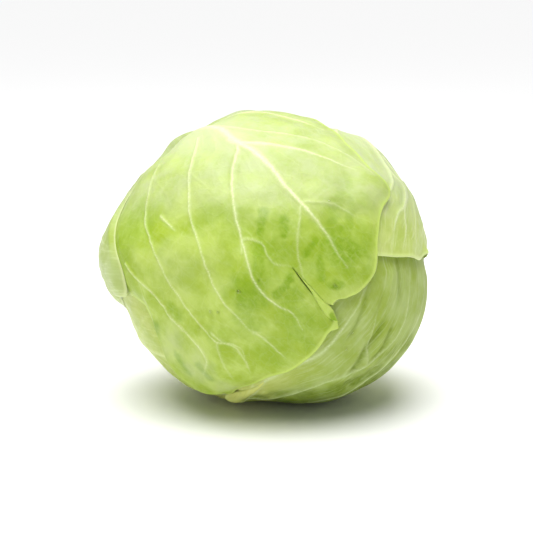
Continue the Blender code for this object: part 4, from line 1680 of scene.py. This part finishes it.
@dataclass(frozen=True)
class Stem:
    """The cut stem, with its pith, its ring of strands and its green skin. Lengths are in metres."""

    pith: Colour = (0.84, 0.86, 0.66)
    flesh: Colour = (0.72, 0.78, 0.46)
    strands: Colour = (0.50, 0.58, 0.24)
    skin: Colour = (0.46, 0.58, 0.20)
    dried: Colour = (0.52, 0.40, 0.22)
    wobble: Pattern = Pattern(140.0, 3.0)
    wobble_width: float = 0.002
    core_from: Range = (0.004, 0.010)  # radii from the axis
    ring_from: Range = (0.0095, 0.0108)
    ring_to: Range = (0.0124, 0.0112)
    skin_from: Range = (0.0138, 0.0152)
    dots: Pattern = Pattern(900.0, 1.0, (0.45, 0.6, 0.25, 0.9))
    dry: Pattern = Pattern(75.0, 5.0, (0.5, 0.72, 0.0, 0.55), 0.65)
    dry_from: Range = (0.007, 0.015, 0.4, 1.0)
    grain: Pattern = Pattern(420.0, 4.0, (0.35, 0.7), 0.6)
    dot_height: float = 1.5
    bump_strength: float = 0.5
    bump_height: float = 0.0006
    roughness: float = 0.62

    def dress(self, form: HeadForm) -> None:
        """Gives the CAD stem its finish, in rings round its axis.

        Args:
            form: The head's shape, for the axis.
        """
        nodes = NodeTree("stem_finish")
        place = nodes.object_place()
        offset = nodes.vectors("SUBTRACT", place, tuple(value * MM for value in form.centre))
        axis = tuple(float(value) for value in form.apex)
        crossed = nodes.vectors("CROSS_PRODUCT", offset.outputs["Vector"], axis)
        length = nodes.node("ShaderNodeVectorMath", operation="LENGTH")
        nodes.join(crossed.outputs["Vector"], length.inputs[0])
        wobble = nodes.maths("MULTIPLY", nodes.noise(place, self.wobble), self.wobble_width)
        radius = nodes.maths("ADD", length.outputs["Value"], wobble)

        colour = nodes.mix(self.pith, self.flesh, nodes.span(radius, *self.core_from))
        ring = nodes.maths("MULTIPLY", nodes.span(radius, *self.ring_from), nodes.span(radius, *self.ring_to))
        dots = nodes.maths("MULTIPLY", ring, nodes.spread(place, self.dots))
        colour = nodes.mix(colour, self.strands, dots)
        colour = nodes.mix(colour, self.skin, nodes.span(radius, *self.skin_from))
        dry = nodes.maths("MULTIPLY", nodes.spread(place, self.dry), nodes.span(radius, *self.dry_from))
        colour = nodes.mix(colour, self.dried, dry)
        nodes.join(colour, nodes.shader.inputs["Base Color"])
        raised = nodes.maths("MULTIPLY", dots, self.dot_height)
        relief = nodes.maths("ADD", nodes.spread(place, self.grain), raised)
        nodes.bump(relief, self.bump_strength, self.bump_height)
        nodes.surface({"Roughness": self.roughness})
        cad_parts["stem"].material_slots[0].material = nodes.material
        LOG.info("stem: dressed")


TEAR_FOLD = (
    (4.6, 74, 0.2, 0.3), (5.8, 79, 0.45, 0.5), (7.3, 85, 0.9, 0.8), (9.0, 90, 1.6, 0.9),
    (10.4, 96, 2.8, 0.8), (11.6, 100, 2.3, 0.6), (12.3, 104.6, 0.2, 0.2),
)
NUB = (
    (-38, 34, 0.3, 0.2), (-40.5, 26, 1.4, 0.8), (-44, 17, 3.0, 1.5), (-46.5, 10, 4.8, 2.0),
    (-47.5, 5, 5.4, 2.2), (-47.5, 0, 4.6, 1.9), (-47.5, -4, 1.4, 0.6),
)
DROPS = (
    ("leaf_front", 31, 54, 1.0), ("leaf_front", 49, 45, 0.8), ("leaf_front", 47, 49, 0.7),
    ("leaf_front", -3, 91, 1.0), ("leaf_front", 62, 41, 0.6), ("leaf_front", 36, 58, 0.5),
    ("leaf_right_under", 9, 64, 0.6), ("leaf_right_under", 4, 57, 0.6), ("leaf_right_under", 5, 74, 0.6),
    ("leaf_front", 20, 60, 0.5), ("leaf_front", -38, 60, 0.5),
)


@dataclass(frozen=True)
class Studio:
    """The floor, lights and camera. Lengths are in metres, the lens and its sensor in mm, and the
    picture and the head's centre in it in pixels."""

    distance: float = 0.775
    lens: float = 100.0
    sensor: float = 36.0
    picture: float = 533.0
    centre_px: Point = (266.0, 256.0)
    floor_size: float = 12.0
    world: float = 0.32
    floor_grey: float = 0.92
    floor_roughness: float = 0.9
    floor_shine: float = 0.1
    backdrop: float = 1.0
    key: float = 2.4
    key_height: float = 2.0
    key_spread: float = math.radians(50)
    key_way: Triple = (-0.1, -0.3, 1.0)
    overhead: float = 7.0
    overhead_size: float = 1.0
    overhead_place: Triple = (-0.1, 0.12, 0.9)

    def build(self, form: HeadForm) -> None:
        """Sets up the studio.

        Args:
            form: The head's shape, for its centre and the camera's lean.
        """
        self._floor()
        self._world()
        self._sun()
        self._overhead()
        self._camera(form)

    def _floor(self) -> None:
        """Lays the pale floor."""
        clear_selection()
        bpy.ops.mesh.primitive_plane_add(size=self.floor_size, location=(0.0, 0.0, 0.0))
        floor = bpy.context.object
        floor.name = "floor"
        nodes = NodeTree("floor_finish")
        nodes.surface({
            "Base Color": (self.floor_grey, self.floor_grey, self.floor_grey, 1.0),
            "Roughness": self.floor_roughness, "Specular IOR Level": self.floor_shine,
        })
        floor.data.materials.append(nodes.material)
        floor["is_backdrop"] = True

    def _world(self) -> None:
        """Fills the room with soft white light, and shows it as white."""
        world = bpy.data.worlds.new("studio_world")
        world.use_nodes = True
        tree = world.node_tree
        soft = tree.nodes["Background"]
        soft.inputs["Color"].default_value = (1.0, 1.0, 1.0, 1.0)
        soft.inputs["Strength"].default_value = self.world
        shown = tree.nodes.new("ShaderNodeBackground")
        shown.inputs["Strength"].default_value = self.backdrop
        seen = tree.nodes.new("ShaderNodeLightPath")
        mix = tree.nodes.new("ShaderNodeMixShader")
        tree.links.new(seen.outputs["Is Camera Ray"], mix.inputs["Fac"])
        tree.links.new(soft.outputs["Background"], mix.inputs[1])
        tree.links.new(shown.outputs["Background"], mix.inputs[2])
        tree.links.new(mix.outputs["Shader"], tree.nodes["World Output"].inputs["Surface"])
        bpy.context.scene.world = world
        bpy.context.scene.view_settings.view_transform = "Standard"

    def _sun(self) -> None:
        """Adds the wide soft key light, even over the whole floor."""
        clear_selection()
        bpy.ops.object.light_add(type="SUN", location=(0.0, 0.0, self.key_height))
        lamp = bpy.context.object
        lamp.name = "key"
        lamp.data.energy = self.key
        lamp.data.angle = self.key_spread
        lamp.rotation_euler = Vector(self.key_way).to_track_quat("Z", "Y").to_euler()

    def _overhead(self) -> None:
        """Adds a softbox over the head that faces down."""
        clear_selection()
        bpy.ops.object.light_add(type="AREA", location=self.overhead_place)
        lamp = bpy.context.object
        lamp.name = "overhead"
        lamp.data.shape = "SQUARE"
        lamp.data.size = self.overhead_size
        lamp.data.energy = self.overhead

    def _camera(self, form: HeadForm) -> None:
        """Puts the camera at the photograph's angle."""
        clear_selection()
        centre = Vector(form.centre) * MM
        way = Vector(form.view_front)
        bpy.ops.object.camera_add(location=centre + way * self.distance)
        camera = bpy.context.object
        camera.name = "camera"
        camera.rotation_euler = (-way).to_track_quat("-Z", "Y").to_euler()
        camera.data.lens = self.lens
        camera.data.sensor_width = self.sensor
        middle = self.picture / 2.0
        camera.data.shift_x = (middle - self.centre_px[0]) / self.picture
        camera.data.shift_y = (self.centre_px[1] - middle) / self.picture
        bpy.context.scene.camera = camera


def corners() -> list[list[float]]:
    """Returns the whole object's lowest and highest corners as plain numbers."""
    return [[float(value) for value in corner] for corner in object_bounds()]


def main() -> None:
    """Builds the cabbage and its studio."""
    logging.basicConfig(level=logging.INFO, format="%(message)s")
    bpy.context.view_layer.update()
    form, layering = HeadForm(), Layering()
    drawings = [Drawing(plan, form, layering) for plan in LEAVES]
    leaves = {}
    for index, drawing in enumerate(drawings):
        leaves[drawing.plan.node] = WrapperLeaf(index, drawings, form)
        leaves[drawing.plan.node].build()
    LeafRoll("tear_fold", leaves["leaf_front"], TEAR_FOLD, rim=0.7, base=0.0).build()
    LeafRoll("leaf_right_under_nub", leaves["leaf_right_under"], NUB, rim=0.0, base=0.6).build()
    Droplets(DROPS).build(leaves)
    Heart().dress()
    Stem().dress(form)
    Studio().build(form)


if __name__ == "__main__":
    main()
